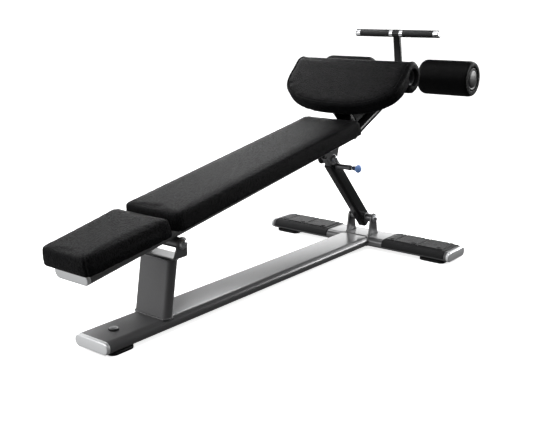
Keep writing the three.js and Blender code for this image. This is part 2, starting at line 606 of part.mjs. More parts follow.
// ---------------------------------------------------------------- handle
/** The T-handle: post, hub, chrome bar with collars, rubber grips and end caps. */
function buildHandle(frame, support) {
  const hubRadius = 15.5;
  const size = { depth: 16, width: 30, corner: 3, wall: 2.5 };
  const post = strutTube(size, 120, HANDLE.above).translate(HANDLE.along, 0, 0);
  const hubHole = rod(hubRadius + GAP, -60, 60).translate(HANDLE.along, 0, HANDLE.above);
  bench.updateMatrixWorld(true);
  const tubeZone = box([-60, -100, -400], [700, 100, TUBE.depth / 2 + GAP]);
  tubeZone.applyMatrix4(new THREE.Matrix4().copy(frame.matrixWorld).invert().multiply(support.matrixWorld));
  piece(frame, 'handle_post', cut(post, hubHole, tubeZone), GRAPHITE);
  const hub = pipe(hubRadius, HANDLE.bar + GAP, -HANDLE.hub, HANDLE.hub);
  piece(frame, 'handle_hub', hub, GRAPHITE, HANDLE.along, 0, HANDLE.above);

  const barEnd = HANDLE.cap + 12;
  const halfBar = [[HANDLE.bar, HANDLE.hub + GAP], [HANDLE.radius, HANDLE.hub + GAP],
    [HANDLE.radius, HANDLE.collar], [HANDLE.bar, HANDLE.collar], [HANDLE.bar, barEnd]];
  const mirrored = halfBar.map(([r, y]) => [r, -y]).reverse();
  const bar = turned([[0, -barEnd], ...mirrored, ...halfBar, [0, barEnd]]);
  piece(frame, 'handle_bar', bar, CHROME, HANDLE.along, 0, HANDLE.above);
  for (const [side, sign] of SIDES) {
    const grip = pipe(HANDLE.radius, HANDLE.bar + GAP, HANDLE.collar + GAP, HANDLE.cap - GAP);
    const cap = turned([[0, barEnd + GAP], [HANDLE.bar + GAP, barEnd + GAP], [HANDLE.bar + GAP, HANDLE.cap],
      [HANDLE.radius, HANDLE.cap], [HANDLE.radius, HANDLE.half - 4], [HANDLE.radius - 4, HANDLE.half],
      [0, HANDLE.half]]);
    const turn = (geometry) => (sign > 0 ? geometry : geometry.rotateX(Math.PI));
    piece(frame, `grip_${side}`, turn(grip), RUBBER, HANDLE.along, 0, HANDLE.above);
    piece(frame, `handle_cap_${side}`, turn(cap), CHROME, HANDLE.along, 0, HANDLE.above);
  }
}

// ---------------------------------------------------------------- build
buildBase(bench);
for (const [side, start] of [['left', 131], ['right', -402]]) {
  piece(bench, `step_cover_${side}`, stepCover(), RUBBER, CROSS_X, start, BASE_Z);
}
buildPost(bench);
buildStrutFoot(bench);

const frame = groupAt(bench, PIVOT.x, PIVOT.z, -INCLINE);
const support = groupAt(frame, BENCH.bend, BENCH.lift, -SUPPORT.angle);
buildBenchFrame(frame, support);
buildMainPivot(frame);
buildUpperBracket(frame);
buildPad(frame, 'head_pad', HEAD_PAD);
buildPad(frame, 'back_pad', LONG_PAD);
buildThighPad(frame, support);
buildRollers(support);
buildHandle(frame, support);

const head = new THREE.Vector3(STRUT_HEAD.along, 0, -STRUT_HEAD.below);
head.applyAxisAngle(new THREE.Vector3(0, 1, 0), -INCLINE).add(PIVOT);
const reach = head.clone().sub(STRUT_FOOT);
const strut = groupAt(bench, STRUT_FOOT.x, STRUT_FOOT.z, Math.atan2(reach.x, reach.z));
buildStrutOuter(strut);
buildPopPin(strut);
buildStrutInner(strut, reach.length());

// The origin is the bottom centre of the whole bench.
bench.updateMatrixWorld(true);
const bounds = new THREE.Box3().setFromObject(bench, true);
const centre = bounds.getCenter(new THREE.Vector3());
bench.position.set(-centre.x, -centre.y, -bounds.min.z);

export default bench;
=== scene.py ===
"""An adjustable decline bench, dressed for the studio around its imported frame.

Every size is in metres. +X runs from the low head end to the foot rollers, +Y is the left side and +Z is
up. Each sub-assembly is a class that works out its surfaces as numpy grids and hands them over as pieces.
"""

import logging
import math
from dataclasses import dataclass
from enum import Enum
from typing import Any, Callable, Sequence

import bmesh
import bpy
import numpy as np
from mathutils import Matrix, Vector


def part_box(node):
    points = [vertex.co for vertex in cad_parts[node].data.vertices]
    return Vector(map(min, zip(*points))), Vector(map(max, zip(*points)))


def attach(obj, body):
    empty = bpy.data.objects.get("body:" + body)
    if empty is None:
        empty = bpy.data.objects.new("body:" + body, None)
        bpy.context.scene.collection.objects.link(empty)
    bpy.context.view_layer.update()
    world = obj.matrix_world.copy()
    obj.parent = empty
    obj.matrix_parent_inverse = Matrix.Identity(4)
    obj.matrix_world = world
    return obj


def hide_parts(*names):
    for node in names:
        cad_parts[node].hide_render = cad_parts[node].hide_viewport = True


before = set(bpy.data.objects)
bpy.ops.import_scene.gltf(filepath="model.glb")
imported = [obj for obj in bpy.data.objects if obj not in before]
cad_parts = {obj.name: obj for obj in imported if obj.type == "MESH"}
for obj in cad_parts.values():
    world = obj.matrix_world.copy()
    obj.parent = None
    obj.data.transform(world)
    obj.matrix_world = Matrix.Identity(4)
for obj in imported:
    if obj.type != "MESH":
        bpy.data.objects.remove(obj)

log = logging.getLogger("bench")
Grid = np.ndarray
Outline = Callable[[float], np.ndarray]
SIDES = (("left", 1.0), ("right", -1.0))
TUBE_EDGE = 0.0008
WELD_STEP = 0.0012
PAD_VOXEL = 0.0058
STAPLE_STEP = 0.034
GRIP_RIB = 0.006
PALE_WALL = (-0.72, 0.66, -0.20)
SUN_FROM = (-0.34, -0.22, 0.90)


# ---------------------------------------------------------------------------- shader kit
class Wire:
    """A node's output socket that can be used in arithmetic; each sign adds one Math node."""

    def __init__(self, graph: "Graph", socket: bpy.types.NodeSocket) -> None:
        """Keeps the graph and the socket."""
        self.graph = graph
        self.socket = socket

    def _math(self, sign: str, a: Any, b: Any) -> "Wire":
        """Adds one Math node for a sign between two numbers or wires."""
        return self.graph.node("ShaderNodeMath", {0: a, 1: b}, operation=sign)

    def __add__(self, other: Any) -> "Wire":
        """The sum with a number or a wire."""
        return self._math("ADD", self, other)

    __radd__ = __add__

    def __sub__(self, other: Any) -> "Wire":
        """This wire less the other."""
        return self._math("SUBTRACT", self, other)

    def __rsub__(self, other: Any) -> "Wire":
        """The other less this wire."""
        return self._math("SUBTRACT", other, self)

    def __mul__(self, other: Any) -> "Wire":
        """The product with a number or a wire."""
        return self._math("MULTIPLY", self, other)

    __rmul__ = __mul__

    def __truediv__(self, other: Any) -> "Wire":
        """This wire over the other."""
        return self._math("DIVIDE", self, other)

    def __pow__(self, other: Any) -> "Wire":
        """This wire to the other's power."""
        return self._math("POWER", self, other)

    def __gt__(self, other: Any) -> "Wire":
        """1 where this wire is above the other, else 0."""
        return self._math("GREATER_THAN", self, other)


class Graph:
    """The node tree of one material, or of the world."""

    def __init__(self, tree: bpy.types.NodeTree) -> None:
        """Takes a node tree and empties it."""
        self.tree = tree
        tree.nodes.clear()

    def node(self, kind: str, sockets: dict[Any, Any] | None = None, out: Any = 0, **settings: Any) -> Wire:
        """Adds any node.

        Args:
            kind: the node's type.
            sockets: input name or number, to a value or a wire.
            out: the output that the wire carries.
            settings: the node's own settings; stops gives a ramp's positions and greys.

        Returns:
            The wire of the chosen output.
        """
        made = self.tree.nodes.new(kind)
        stops = settings.pop("stops", None)
        for key, value in settings.items():
            setattr(made, key, value)
        if stops:
            ramp = made.color_ramp
            while len(ramp.elements) < len(stops):
                ramp.elements.new(0.5)
            for element, (position, grey) in zip(ramp.elements, stops):
                element.position = position
                element.color = (grey, grey, grey, 1.0)
        for key, value in (sockets or {}).items():
            if isinstance(value, Wire):
                self.tree.links.new(value.socket, made.inputs[key])
            else:
                made.inputs[key].default_value = value
        return Wire(self, made.outputs[out])

    def noise(self, at: Wire, scale: float, detail: float = 3.0, rough: float = 0.5) -> Wire:
        """Soft cloud noise from 0 to 1, with `scale` blobs to the metre."""
        sockets = {"Vector": at, "Scale": scale, "Detail": detail, "Roughness": rough}
        return self.node("ShaderNodeTexNoise", sockets)

    def cells(self, at: Wire, scale: float, feature: str = "F1") -> Wire:
        """Distance to the nearest of `scale` cell centres to the metre."""
        sockets = {"Vector": at, "Scale": scale}
        return self.node("ShaderNodeTexVoronoi", sockets, out="Distance", feature=feature)

    def ramp(self, value: Wire, *stops: tuple[float, float]) -> Wire:
        """A grey ramp through (position, grey) stops."""
        return self.node("ShaderNodeValToRGB", {"Fac": value}, stops=stops)

    def stretch(self, at: Wire, scale: tuple[float, float, float]) -> Wire:
        """The point scaled along each axis, which draws a pattern out."""
        return self.node("ShaderNodeMapping", {"Vector": at, "Scale": scale})


class Grain(Enum):
    """The kinds of surface texture on the bench."""

    POWDER = "powder coat"
    VINYL = "embossed vinyl"
    FOAM = "closed-cell foam"
    RUBBER = "moulded rubber"
    CAST = "cast and painted metal"
    TURNED = "turned steel"
    CHROME = "chrome plate"
    PLY = "plywood"
    MOULDED = "moulded plastic"
    FLOOR = "seamless floor"


@dataclass(frozen=True)
class Texture:
    """What a grain does to a surface: colour factor, roughness shift, height and how deep that height is."""

    tint: Wire
    rough: Wire
    height: Wire
    depth: float


def texture_of(grain: Grain, g: Graph, p: Wire) -> Texture:
    """The nodes of one grain.

    Args:
        grain: the kind of surface.
        g: the material's graph.
        p: the Object coordinate, in metres.

    Returns:
        The texture; its tint is about 1 and its roughness shift about 0.
    """
    cloud = g.noise(p, 7.0, 4.0)
    if grain is Grain.POWDER:
        peel = g.noise(p, 620.0, 2.0)
        fleck = g.cells(p, 1500.0)
        smear = g.noise(g.stretch(p, (1.0, 5.0, 5.0)), 16.0, 4.0)
        tint = 0.80 + 0.22 * cloud + 0.30 * (0.55 - fleck)
        return Texture(tint, 0.05 * (smear - 0.5) + 0.03 * (peel - 0.5), peel + 0.25 * fleck, 0.00003)
    if grain is Grain.VINYL:
        bend = g.noise(p, 45.0, 2.0)
        swirl = g.node("ShaderNodeTexNoise", {"Vector": p, "Scale": 90.0, "Detail": 2.0}, out="Color")
        push = g.node("ShaderNodeVectorMath", {0: swirl, "Scale": 0.008}, operation="SCALE")
        warped = g.node("ShaderNodeVectorMath", {0: p, 1: push}, operation="ADD")
        pebble = g.ramp(g.cells(warped, 165.0, "DISTANCE_TO_EDGE"), (0.0, 0.0), (0.16, 0.55), (0.5, 1.0))
        speck = g.ramp(g.noise(p, 230.0, 3.0, 0.6), (0.38, 0.0), (0.62, 1.0))
        tint = 0.1 + 1.2 * pebble + 1.3 * speck + 0.3 * cloud
        height = 0.8 * pebble + 0.6 * speck + 0.3 * bend
        return Texture(tint, 0.16 * (0.5 - speck) + 0.12 * (0.6 - pebble), height, 0.0009)
    if grain is Grain.FOAM:
        pores = g.ramp(g.cells(p, 900.0), (0.0, 0.0), (0.45, 0.9), (1.0, 1.0))
        skin = g.noise(p, 240.0, 4.0)
        return Texture(0.72 + 0.28 * pores + 0.2 * cloud, 0.14 * (skin - 0.5), pores + 0.8 * skin, 0.00035)
    if grain is Grain.RUBBER:
        stipple = g.cells(p, 1100.0)
        dust = g.noise(p, 60.0, 5.0, 0.65)
        tint = 0.78 + 0.34 * dust + 0.14 * (0.5 - stipple)
        return Texture(tint, 0.14 * (dust - 0.5), stipple + 0.6 * dust, 0.00028)
    if grain is Grain.CAST:
        pits = g.noise(p, 420.0, 4.0, 0.6)
        return Texture(0.93 + 0.1 * cloud + 0.05 * (pits - 0.5), 0.12 * (pits - 0.5), pits, 0.00018)
    if grain is Grain.TURNED:
        rings = g.noise(g.stretch(p, (1.0, 14.0, 1.0)), 240.0, 3.0)
        return Texture(0.85 + 0.25 * rings, 0.25 * (rings - 0.5), rings, 0.00008)
    if grain is Grain.CHROME:
        haze = g.noise(p, 150.0, 4.0)
        hairline = g.noise(g.stretch(p, (30.0, 1.0, 30.0)), 40.0, 2.0)
        return Texture(0.97 + 0.05 * haze, 0.05 * haze + 0.03 * (hairline - 0.5), hairline, 0.00002)
    if grain is Grain.PLY:
        fibre = g.noise(g.stretch(p, (1.0, 16.0, 16.0)), 22.0, 5.0, 0.6)
        knot = g.noise(g.stretch(p, (1.0, 3.0, 3.0)), 5.0, 2.0)
        return Texture(0.62 + 0.5 * fibre + 0.25 * (knot - 0.5), 0.2 * (fibre - 0.5), fibre, 0.0003)
    if grain is Grain.FLOOR:
        return Texture(0.985 + 0.03 * cloud, 0.04 * (cloud - 0.5), g.noise(p, 60.0, 4.0), 0.00005)
    flow = g.noise(p, 380.0, 3.0)
    return Texture(0.86 + 0.2 * cloud + 0.12 * (flow - 0.5), 0.14 * (flow - 0.5), flow, 0.00014)


@dataclass(frozen=True)
class Finish:
    """One finish: its record slot, grain and the numbers of its shader."""

    name: str
    slot: str
    grain: Grain
    color: tuple[float, float, float]
    rough: float
    metal: float = 0.0
    coat: float = 0.0
    specular: float = 0.5
    glow: float = 0.0

    def material(self) -> bpy.types.Material:
        """The material of this finish, made once."""
        title = f"studio_{self.name}"
        if title in bpy.data.materials:
            return bpy.data.materials[title]
        made = bpy.data.materials.new(title)
        made.use_nodes = True
        g = Graph(made.node_tree)
        p = g.node("ShaderNodeTexCoord", out="Object")
        texture = texture_of(self.grain, g, p)
        plain = g.node("ShaderNodeCombineColor", {i: v for i, v in enumerate(self.color)})
        shade = g.node("ShaderNodeCombineColor", {i: texture.tint for i in range(3)})
        color = g.node("ShaderNodeMix", {0: 1.0, 6: plain, 7: shade}, out=2, data_type="RGBA",
                       blend_type="MULTIPLY")
        relief = {"Height": texture.height, "Strength": 1.0, "Distance": texture.depth}
        bump = g.node("ShaderNodeBump", relief)
        shader = g.node("ShaderNodeBsdfPrincipled", {
            "Base Color": color, "Roughness": texture.rough + self.rough, "Metallic": self.metal,
            "Coat Weight": self.coat, "Coat Roughness": 0.22, "Specular IOR Level": self.specular,
            "Emission Color": (1.0, 1.0, 1.0, 1.0), "Emission Strength": self.glow, "Normal": bump})
        self._surface(g, shader)
        return made

    @staticmethod
    def _surface(g: Graph, shader: Wire) -> None:
        """Puts a shader on the material's output."""
        output = g.tree.nodes.new("ShaderNodeOutputMaterial")
        g.tree.links.new(shader.socket, output.inputs["Surface"])


GRAPHITE = Finish("graphite_paint", "graphite_paint", Grain.POWDER,
                  (0.150, 0.150, 0.153), 0.29, 0.45, 0.15, 0.4)
# A darker copy of the graphite paint, in the same slot. Its darkness is partly painted shade, for parts that
# sit in the bench's shadow (strut, support tube, thigh bracket), and partly a darker paint on the handle post
# and hub.
DARK_PAINT_AND_SHADE = Finish("dark_paint_and_painted_shade", "graphite_paint", Grain.POWDER, (0.013, 0.013, 0.014), 0.26, 0.2, 0.2, 0.3)
PALE_GRAPHITE = Finish("pale_graphite_paint", "light_graphite_paint", Grain.POWDER,
                       (0.13, 0.132, 0.136), 0.34, 0.5, 0.2)
SILVER = Finish("silver_cap", "silver_cap", Grain.CAST, (0.80, 0.81, 0.82), 0.36, 0.55, 0.2)
CHROME = Finish("chrome_plate", "chrome", Grain.CHROME, (0.86, 0.87, 0.89), 0.06, 1.0)
STEEL = Finish("zinc_steel", "steel", Grain.TURNED, (0.56, 0.57, 0.58), 0.28, 1.0)
RUBBER = Finish("black_rubber", "black_rubber", Grain.RUBBER, (0.016, 0.016, 0.017), 0.50, specular=0.16)
GRIP = Finish("grip_rubber", "black_rubber", Grain.RUBBER, (0.016, 0.016, 0.017), 0.46, specular=0.35)
PLASTIC = Finish("black_plastic", "black_plastic", Grain.MOULDED, (0.018, 0.018, 0.019), 0.38, specular=0.4)
VINYL = Finish("black_vinyl", "black_vinyl", Grain.VINYL, (0.0050, 0.0050, 0.0054), 0.36, 0.0, 0.0, 0.03)
FOAM = Finish("black_foam", "black_foam", Grain.FOAM, (0.0022, 0.0022, 0.0024), 0.42, specular=0.06)
PLYWOOD = Finish("pad_plywood", "plywood", Grain.PLY, (0.46, 0.31, 0.17), 0.6)
BLUE = Finish("blue_knob", "blue_knob", Grain.MOULDED, (0.26, 0.46, 1.0), 0.30, 0.0, 0.15)
NAVY = Finish("navy_collar", "blue_knob", Grain.MOULDED, (0.012, 0.022, 0.075), 0.32)
BRONZE = Finish("bronze_bush", "bronze_bush", Grain.TURNED, (0.42, 0.29, 0.13), 0.34, 0.9)
FLOOR = Finish("pale_floor", "", Grain.FLOOR, (0.94, 0.94, 0.94), 0.7, specular=0.0, glow=0.80)


# ---------------------------------------------------------------------------- outlines and paths
def soften(corners: Sequence[tuple[float, float]], radius: float, closed: bool = False,
           steps: int = 5) -> np.ndarray:
    """Rounds the corners of a line.

    Each corner P becomes (1-s)^2 A + 2s(1-s) P + s^2 B, where A and B lie on its two sides at `radius`
    from P, or at 45% of a side that is shorter.

    Args:
        corners: the corner points.
        radius: distance from a corner at which its curve starts.
        closed: whether the line closes on itself.
        steps: points to each corner's curve, less one.

    Returns:
        The points of the rounded line.
    """
    p = np.asarray(corners, float)
    before, after = np.roll(p, 1, 0) - p, np.roll(p, -1, 0) - p
    far = [np.linalg.norm(d, axis=1, keepdims=True) for d in (before, after)]
    a, b = (p + d / np.maximum(r, 1e-9) * np.minimum(radius, 0.45 * r) for d, r in zip((before, after), far))
    s = np.linspace(0.0, 1.0, steps + 1)[None, :, None]
    curve = (1 - s) ** 2 * a[:, None] + 2 * s * (1 - s) * p[:, None] + s**2 * b[:, None]
    if closed:
        return curve.reshape(-1, 2)
    return np.vstack([p[:1], curve[1:-1].reshape(-1, 2), p[-1:]])


def spread(line: np.ndarray, count: int) -> np.ndarray:
    """A closed outline resampled to `count` points at even steps of its length."""
    loop = np.vstack([line, line[:1]])
    length = np.r_[0.0, np.cumsum(np.linalg.norm(np.diff(loop, axis=0), axis=1))]
    at = np.linspace(0.0, length[-1], count, endpoint=False)
    return np.stack([np.interp(at, length, loop[:, i]) for i in range(loop.shape[1])], 1)


def oval(width: float, depth: float, count: int = 24) -> Outline:
    """A flat oval, width along the first axis: two half circles of radius depth/2 joined by flats."""
    turn = np.linspace(-np.pi / 2, np.pi / 2, count)

    def at(inset: float) -> np.ndarray:
        """The oval's points, drawn in by `inset`."""
        radius = max(depth / 2 - inset, 1e-5)
        reach = (width - depth) / 2
        half = np.stack([reach + radius * np.cos(turn), radius * np.sin(turn)], 1)
        return np.vstack([half, -half])

    return at


def round_rect(x: float, y: float, corner: float, count: int = 9) -> Outline:
    """A rectangle with round corners; an inset shrinks sides and corners together."""

    def at(inset: float) -> np.ndarray:
        """The rectangle's points, drawn in by `inset`."""
        radius = max(corner - inset, 2e-4)
        a, b = max(x / 2 - inset - radius, 0.0), max(y / 2 - inset - radius, 0.0)
        turn = np.linspace(0.0, np.pi / 2, count)
        parts = [np.stack([sx * a + radius * np.cos(turn + t), sy * b + radius * np.sin(turn + t)], 1)
                 for sx, sy, t in ((1, 1, 0.0), (-1, 1, np.pi / 2), (-1, -1, np.pi), (1, -1, 1.5 * np.pi))]
        return np.vstack(parts)

    return at


def polygon(points: np.ndarray) -> Outline:
    """Any smooth closed outline; an inset moves each point inwards along the line's normal."""
    step = np.roll(points, -1, 0) - np.roll(points, 1, 0)
    normal = np.stack([step[:, 1], -step[:, 0]], 1) / np.linalg.norm(step, axis=1, keepdims=True)
    area = np.sum(points[:, 0] * np.roll(points[:, 1], -1) - points[:, 1] * np.roll(points[:, 0], -1))
    outward = normal * np.sign(area)
    return lambda inset: points - inset * outward


def rounded(low: float, high: float, radius: float, steps: int = 4) -> list[tuple[float, float]]:
    """Stations (height, inset) of a block whose two rims are quarter rounds of `radius`."""
    turn = np.linspace(0.0, np.pi / 2, steps + 1)
    rim = np.stack([radius * (1 - np.cos(turn)), radius * (1 - np.sin(turn))], 1)
    top = np.stack([high - rim[::-1, 0], rim[::-1, 1]], 1)
    return [(low + h, i) for h, i in rim] + [tuple(row) for row in top]


class Along(Enum):
    """The axis that a section is carried along; its own two axes follow in order."""

    X = (1, 2, 0)
    Y = (0, 2, 1)
    Z = (0, 1, 2)


def prism(outline: Outline, stations: Sequence[tuple[float, float]], along: Along) -> Grid:
    """Rings of an outline at each station (height, inset), carried along an axis."""
    rings = []
    for height, inset in stations:
        flat = outline(inset)
        ring = np.zeros((len(flat), 3))
        first, second, third = along.value
        ring[:, first], ring[:, second], ring[:, third] = flat[:, 0], flat[:, 1], height
        rings.append(ring)
    return np.array(rings)


def turned(profile: np.ndarray, along: Along = Along.Y, count: int = 56) -> Grid:
    """A profile of (radius, height) turned about an axis: radius times (cos a, sin a) at each height."""
    profile = np.asarray(profile, float)
    angle = np.linspace(0.0, 2 * np.pi, count, endpoint=False)
    rings = np.zeros((len(profile), count, 3))
    first, second, third = along.value
    rings[..., first] = profile[:, :1] * np.cos(angle)
    rings[..., second] = profile[:, :1] * np.sin(angle)
    rings[..., third] = profile[:, 1:]
    return rings


def bead(path: np.ndarray, radius: float, closed: bool = True, pitch: float = 0.0045, count: int = 8) -> Grid:
    """A weld bead or a cord of piping along a path.

    Each ring is a circle across the path's tangent T, in the axes N and T x N, where N leans to the path's
    outside. Its radius swells by 14% and back once every `pitch`, as the ripples of a weld do.

    Args:
        path: the centre line, one row to a point.
        radius: the bead's mean radius.
        closed: whether the path is a loop.
        pitch: length of one ripple, or 0 for a smooth cord.
        count: points to a ring.

    Returns:
        The rings.
    """
    tangent = (np.roll(path, -1, 0) - np.roll(path, 1, 0)) if closed else np.gradient(path, axis=0)
    tangent /= np.maximum(np.linalg.norm(tangent, axis=1, keepdims=True), 1e-9)
    outside = path - path.mean(0)
    outside -= tangent * np.sum(outside * tangent, 1, keepdims=True)
    outside /= np.maximum(np.linalg.norm(outside, axis=1, keepdims=True), 1e-9)
    third = np.cross(tangent, outside)
    length = np.r_[0.0, np.cumsum(np.linalg.norm(np.diff(path, axis=0), axis=1))]
    swell = 1.0 + (0.14 * np.sin(2 * np.pi * length / pitch) if pitch else 0.0)
    angle = np.linspace(0.0, 2 * np.pi, count, endpoint=False)[None, :, None]
    size = (radius * np.broadcast_to(swell, length.shape))[:, None, None]
    return path[:, None] + size * (np.cos(angle) * outside[:, None] + np.sin(angle) * third[:, None])


def fine(path: np.ndarray, step: float, closed: bool = True) -> np.ndarray:
    """A path resampled at about `step` along its length."""
    loop = np.vstack([path, path[:1]]) if closed else path
    length = np.r_[0.0, np.cumsum(np.linalg.norm(np.diff(loop, axis=0), axis=1))]
    at = np.linspace(0.0, length[-1], max(int(length[-1] / step), 8), endpoint=not closed)
    return np.stack([np.interp(at, length, loop[:, i]) for i in range(3)], 1)


@dataclass(frozen=True)
class Place:
    """A spot in the bench's middle plane, tilted so that its own +X end is raised."""

    x: float
    z: float
    tilt: float = 0.0

    def put(self, points: Any) -> np.ndarray:
        """Points of this place in the bench's frame: turned about Y by the tilt, then moved."""
        points = np.asarray(points, float)
        c, s = math.cos(math.radians(self.tilt)), math.sin(math.radians(self.tilt))
        out = points.copy()
        out[..., 0] = self.x + points[..., 0] * c - points[..., 2] * s
        out[..., 2] = self.z + points[..., 0] * s + points[..., 2] * c
        return out

    def child(self, x: float, z: float, tilt: float = 0.0) -> "Place":
        """A place given in this one's own axes."""
        spot = self.put((x, 0.0, z))
        return Place(float(spot[0]), float(spot[2]), self.tilt + tilt)


def centre(node: str) -> Place:
    """The middle of a CAD node's box, as an upright place."""
    low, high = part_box(node)
    return Place((low.x + high.x) / 2, (low.z + high.z) / 2)


# ---------------------------------------------------------------------------- pieces
class Shape:
    """Closed surfaces gathered into one mesh."""

    def __init__(self) -> None:
        """Starts empty."""
        self.points: list[np.ndarray] = []
        self.faces: list[list[int]] = []
        self.count = 0

    def add(self, rings: Grid, at: Place | None = None, loop: bool = False, shift: float = 0.0) -> "Shape":
        """Adds rings as quads between each ring and the next.

        Args:
            rings: an array of rings of points, each closed on itself.
            at: the place whose axes the points are in, or None for the bench's own.
            loop: whether the last ring joins the first, as in a pipe; otherwise both ends are closed.
            shift: a move along Y.

        Returns:
            This shape, for the next surface.
        """
        many, around, _ = rings.shape
        ids = self.count + np.arange(many * around).reshape(many, around)
        a, b = (ids, np.roll(ids, -1, 0)) if loop else (ids[:-1], ids[1:])
        quads = np.stack([a, np.roll(a, -1, 1), np.roll(b, -1, 1), b], -1).reshape(-1, 4)
        self.faces += quads.tolist()
        if not loop:
            self.faces += [ids[0, ::-1].tolist(), ids[-1].tolist()]
        flat = rings.reshape(-1, 3) + np.array([0.0, shift, 0.0])
        self.points.append(at.put(flat) if at else flat)
        self.count += many * around
        return self

    def add_slab(self, top: Grid, bottom: Grid, at: Place | None = None) -> "Shape":
        """Adds the body between two grids of the same size, closed along their borders."""
        rows, cols, _ = top.shape
        ids = self.count + np.arange(2 * rows * cols).reshape(2, rows, cols)
        for sheet in ids:
            self.faces += np.stack([sheet[:-1, :-1], sheet[1:, :-1], sheet[1:, 1:], sheet[:-1, 1:]],
                                   -1).reshape(-1, 4).tolist()
        rims = [np.concatenate([s[0], s[1:, -1], s[-1, -2::-1], s[-2:0:-1, 0]]) for s in ids]
        self.faces += np.stack([rims[0], np.roll(rims[0], -1), np.roll(rims[1], -1), rims[1]], -1).tolist()
        flat = np.concatenate([top.reshape(-1, 3), bottom.reshape(-1, 3)])
        self.points.append(at.put(flat) if at else flat)
        self.count += 2 * rows * cols
        return self

    def mesh(self, name: str) -> bpy.types.Mesh:
        """The mesh, with its doubles merged and its faces turned outwards."""
        made = bpy.data.meshes.new(name)
        made.from_pydata(np.concatenate(self.points), [], self.faces)
        tidy(made)
        return made


def tidy(mesh: bpy.types.Mesh, near: float = 2e-6) -> None:
    """Merges points that coincide, drops empty faces and turns every face outwards."""
    work = bmesh.new()
    work.from_mesh(mesh)
    bmesh.ops.remove_doubles(work, verts=work.verts, dist=near)
    bmesh.ops.dissolve_degenerate(work, edges=work.edges, dist=1e-7)
    bmesh.ops.recalc_face_normals(work, faces=work.faces)
    work.to_mesh(mesh)
    work.free()


def piece(name: str, mesh: bpy.types.Mesh, finish: Finish, body: str, *nodes: str,
          sharp: float = 32.0) -> bpy.types.Object:
    """Makes a mesh a piece of the bench.

    Args:
        name: the piece's name.
        mesh: its mesh, in the bench's frame.
        finish: its finish.
        body: the body that it rides on.
        nodes: the CAD nodes that it stands for.
        sharp: the angle in degrees past which an edge is drawn sharp.

    Returns:
        The piece.
    """
    made = bpy.data.objects.new(name, mesh)
    bpy.context.scene.collection.objects.link(made)
    mesh.shade_smooth()
    mesh.set_sharp_from_angle(angle=math.radians(sharp))
    mesh.materials.clear()
    mesh.materials.append(finish.material())
    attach(made, body)
    if nodes:
        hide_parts(*nodes)
    log.info("%s: %d points, %s, on %s", name, len(mesh.vertices), finish.name, body)
    return made


def refined(node: str, finish: Finish, body: str, edge: float = 0.0007) -> bpy.types.Object:
    """A CAD node's own shape with its flats made whole and its edges rounded by a bevel."""
    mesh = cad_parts[node].data.copy()
    work = bmesh.new()
    work.from_mesh(mesh)
    bmesh.ops.remove_doubles(work, verts=work.verts, dist=1e-6)
    bmesh.ops.dissolve_limit(work, angle_limit=math.radians(0.6), verts=work.verts, edges=work.edges)
    work.to_mesh(mesh)
    work.free()
    made = piece(f"{node}_finished", mesh, finish, body, node, sharp=40.0)
    bevel = made.modifiers.new("edge", "BEVEL")
    bevel.width, bevel.segments, bevel.limit_method = edge, 2, "ANGLE"
    bevel.angle_limit = math.radians(50.0)
    bevel.harden_normals = True
    return made


def dress(finish: Finish, *nodes: str) -> None:
    """Gives CAD nodes that keep their own mesh a finish."""
    for node in nodes:
        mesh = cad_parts[node].data
        mesh.materials.clear()
        mesh.materials.append(finish.material())


# ---------------------------------------------------------------------------- base
@dataclass(frozen=True)
class FrameTube:
    """The flat-oval frame tube."""

    width: float = 0.140
    depth: float = 0.038

    @property
    def outline(self) -> Outline:
        """The tube's outside."""
        return oval(self.width, self.depth)

    def cap(self, sign: float, bulge: float = 0.0011) -> Grid:
        """A cap's face along X: a quarter-round rim of 5 mm, then a face that bulges as 1 - t^2."""
        turn = np.linspace(0.0, np.pi / 2, 8)
        t = np.linspace(0.0, 1.0, 9)[1:]
        height = np.r_[0.0, 0.007 + 0.005 * np.sin(turn), 0.012 + bulge * (1 - (1 - t) ** 2)]
        inset = np.r_[0.0, 0.005 * (1 - np.cos(turn)), 0.005 + t * (self.depth / 2 - 0.0052)]
        return prism(self.outline, np.stack([sign * height, inset], 1), Along.X)


TUBE = FrameTube()


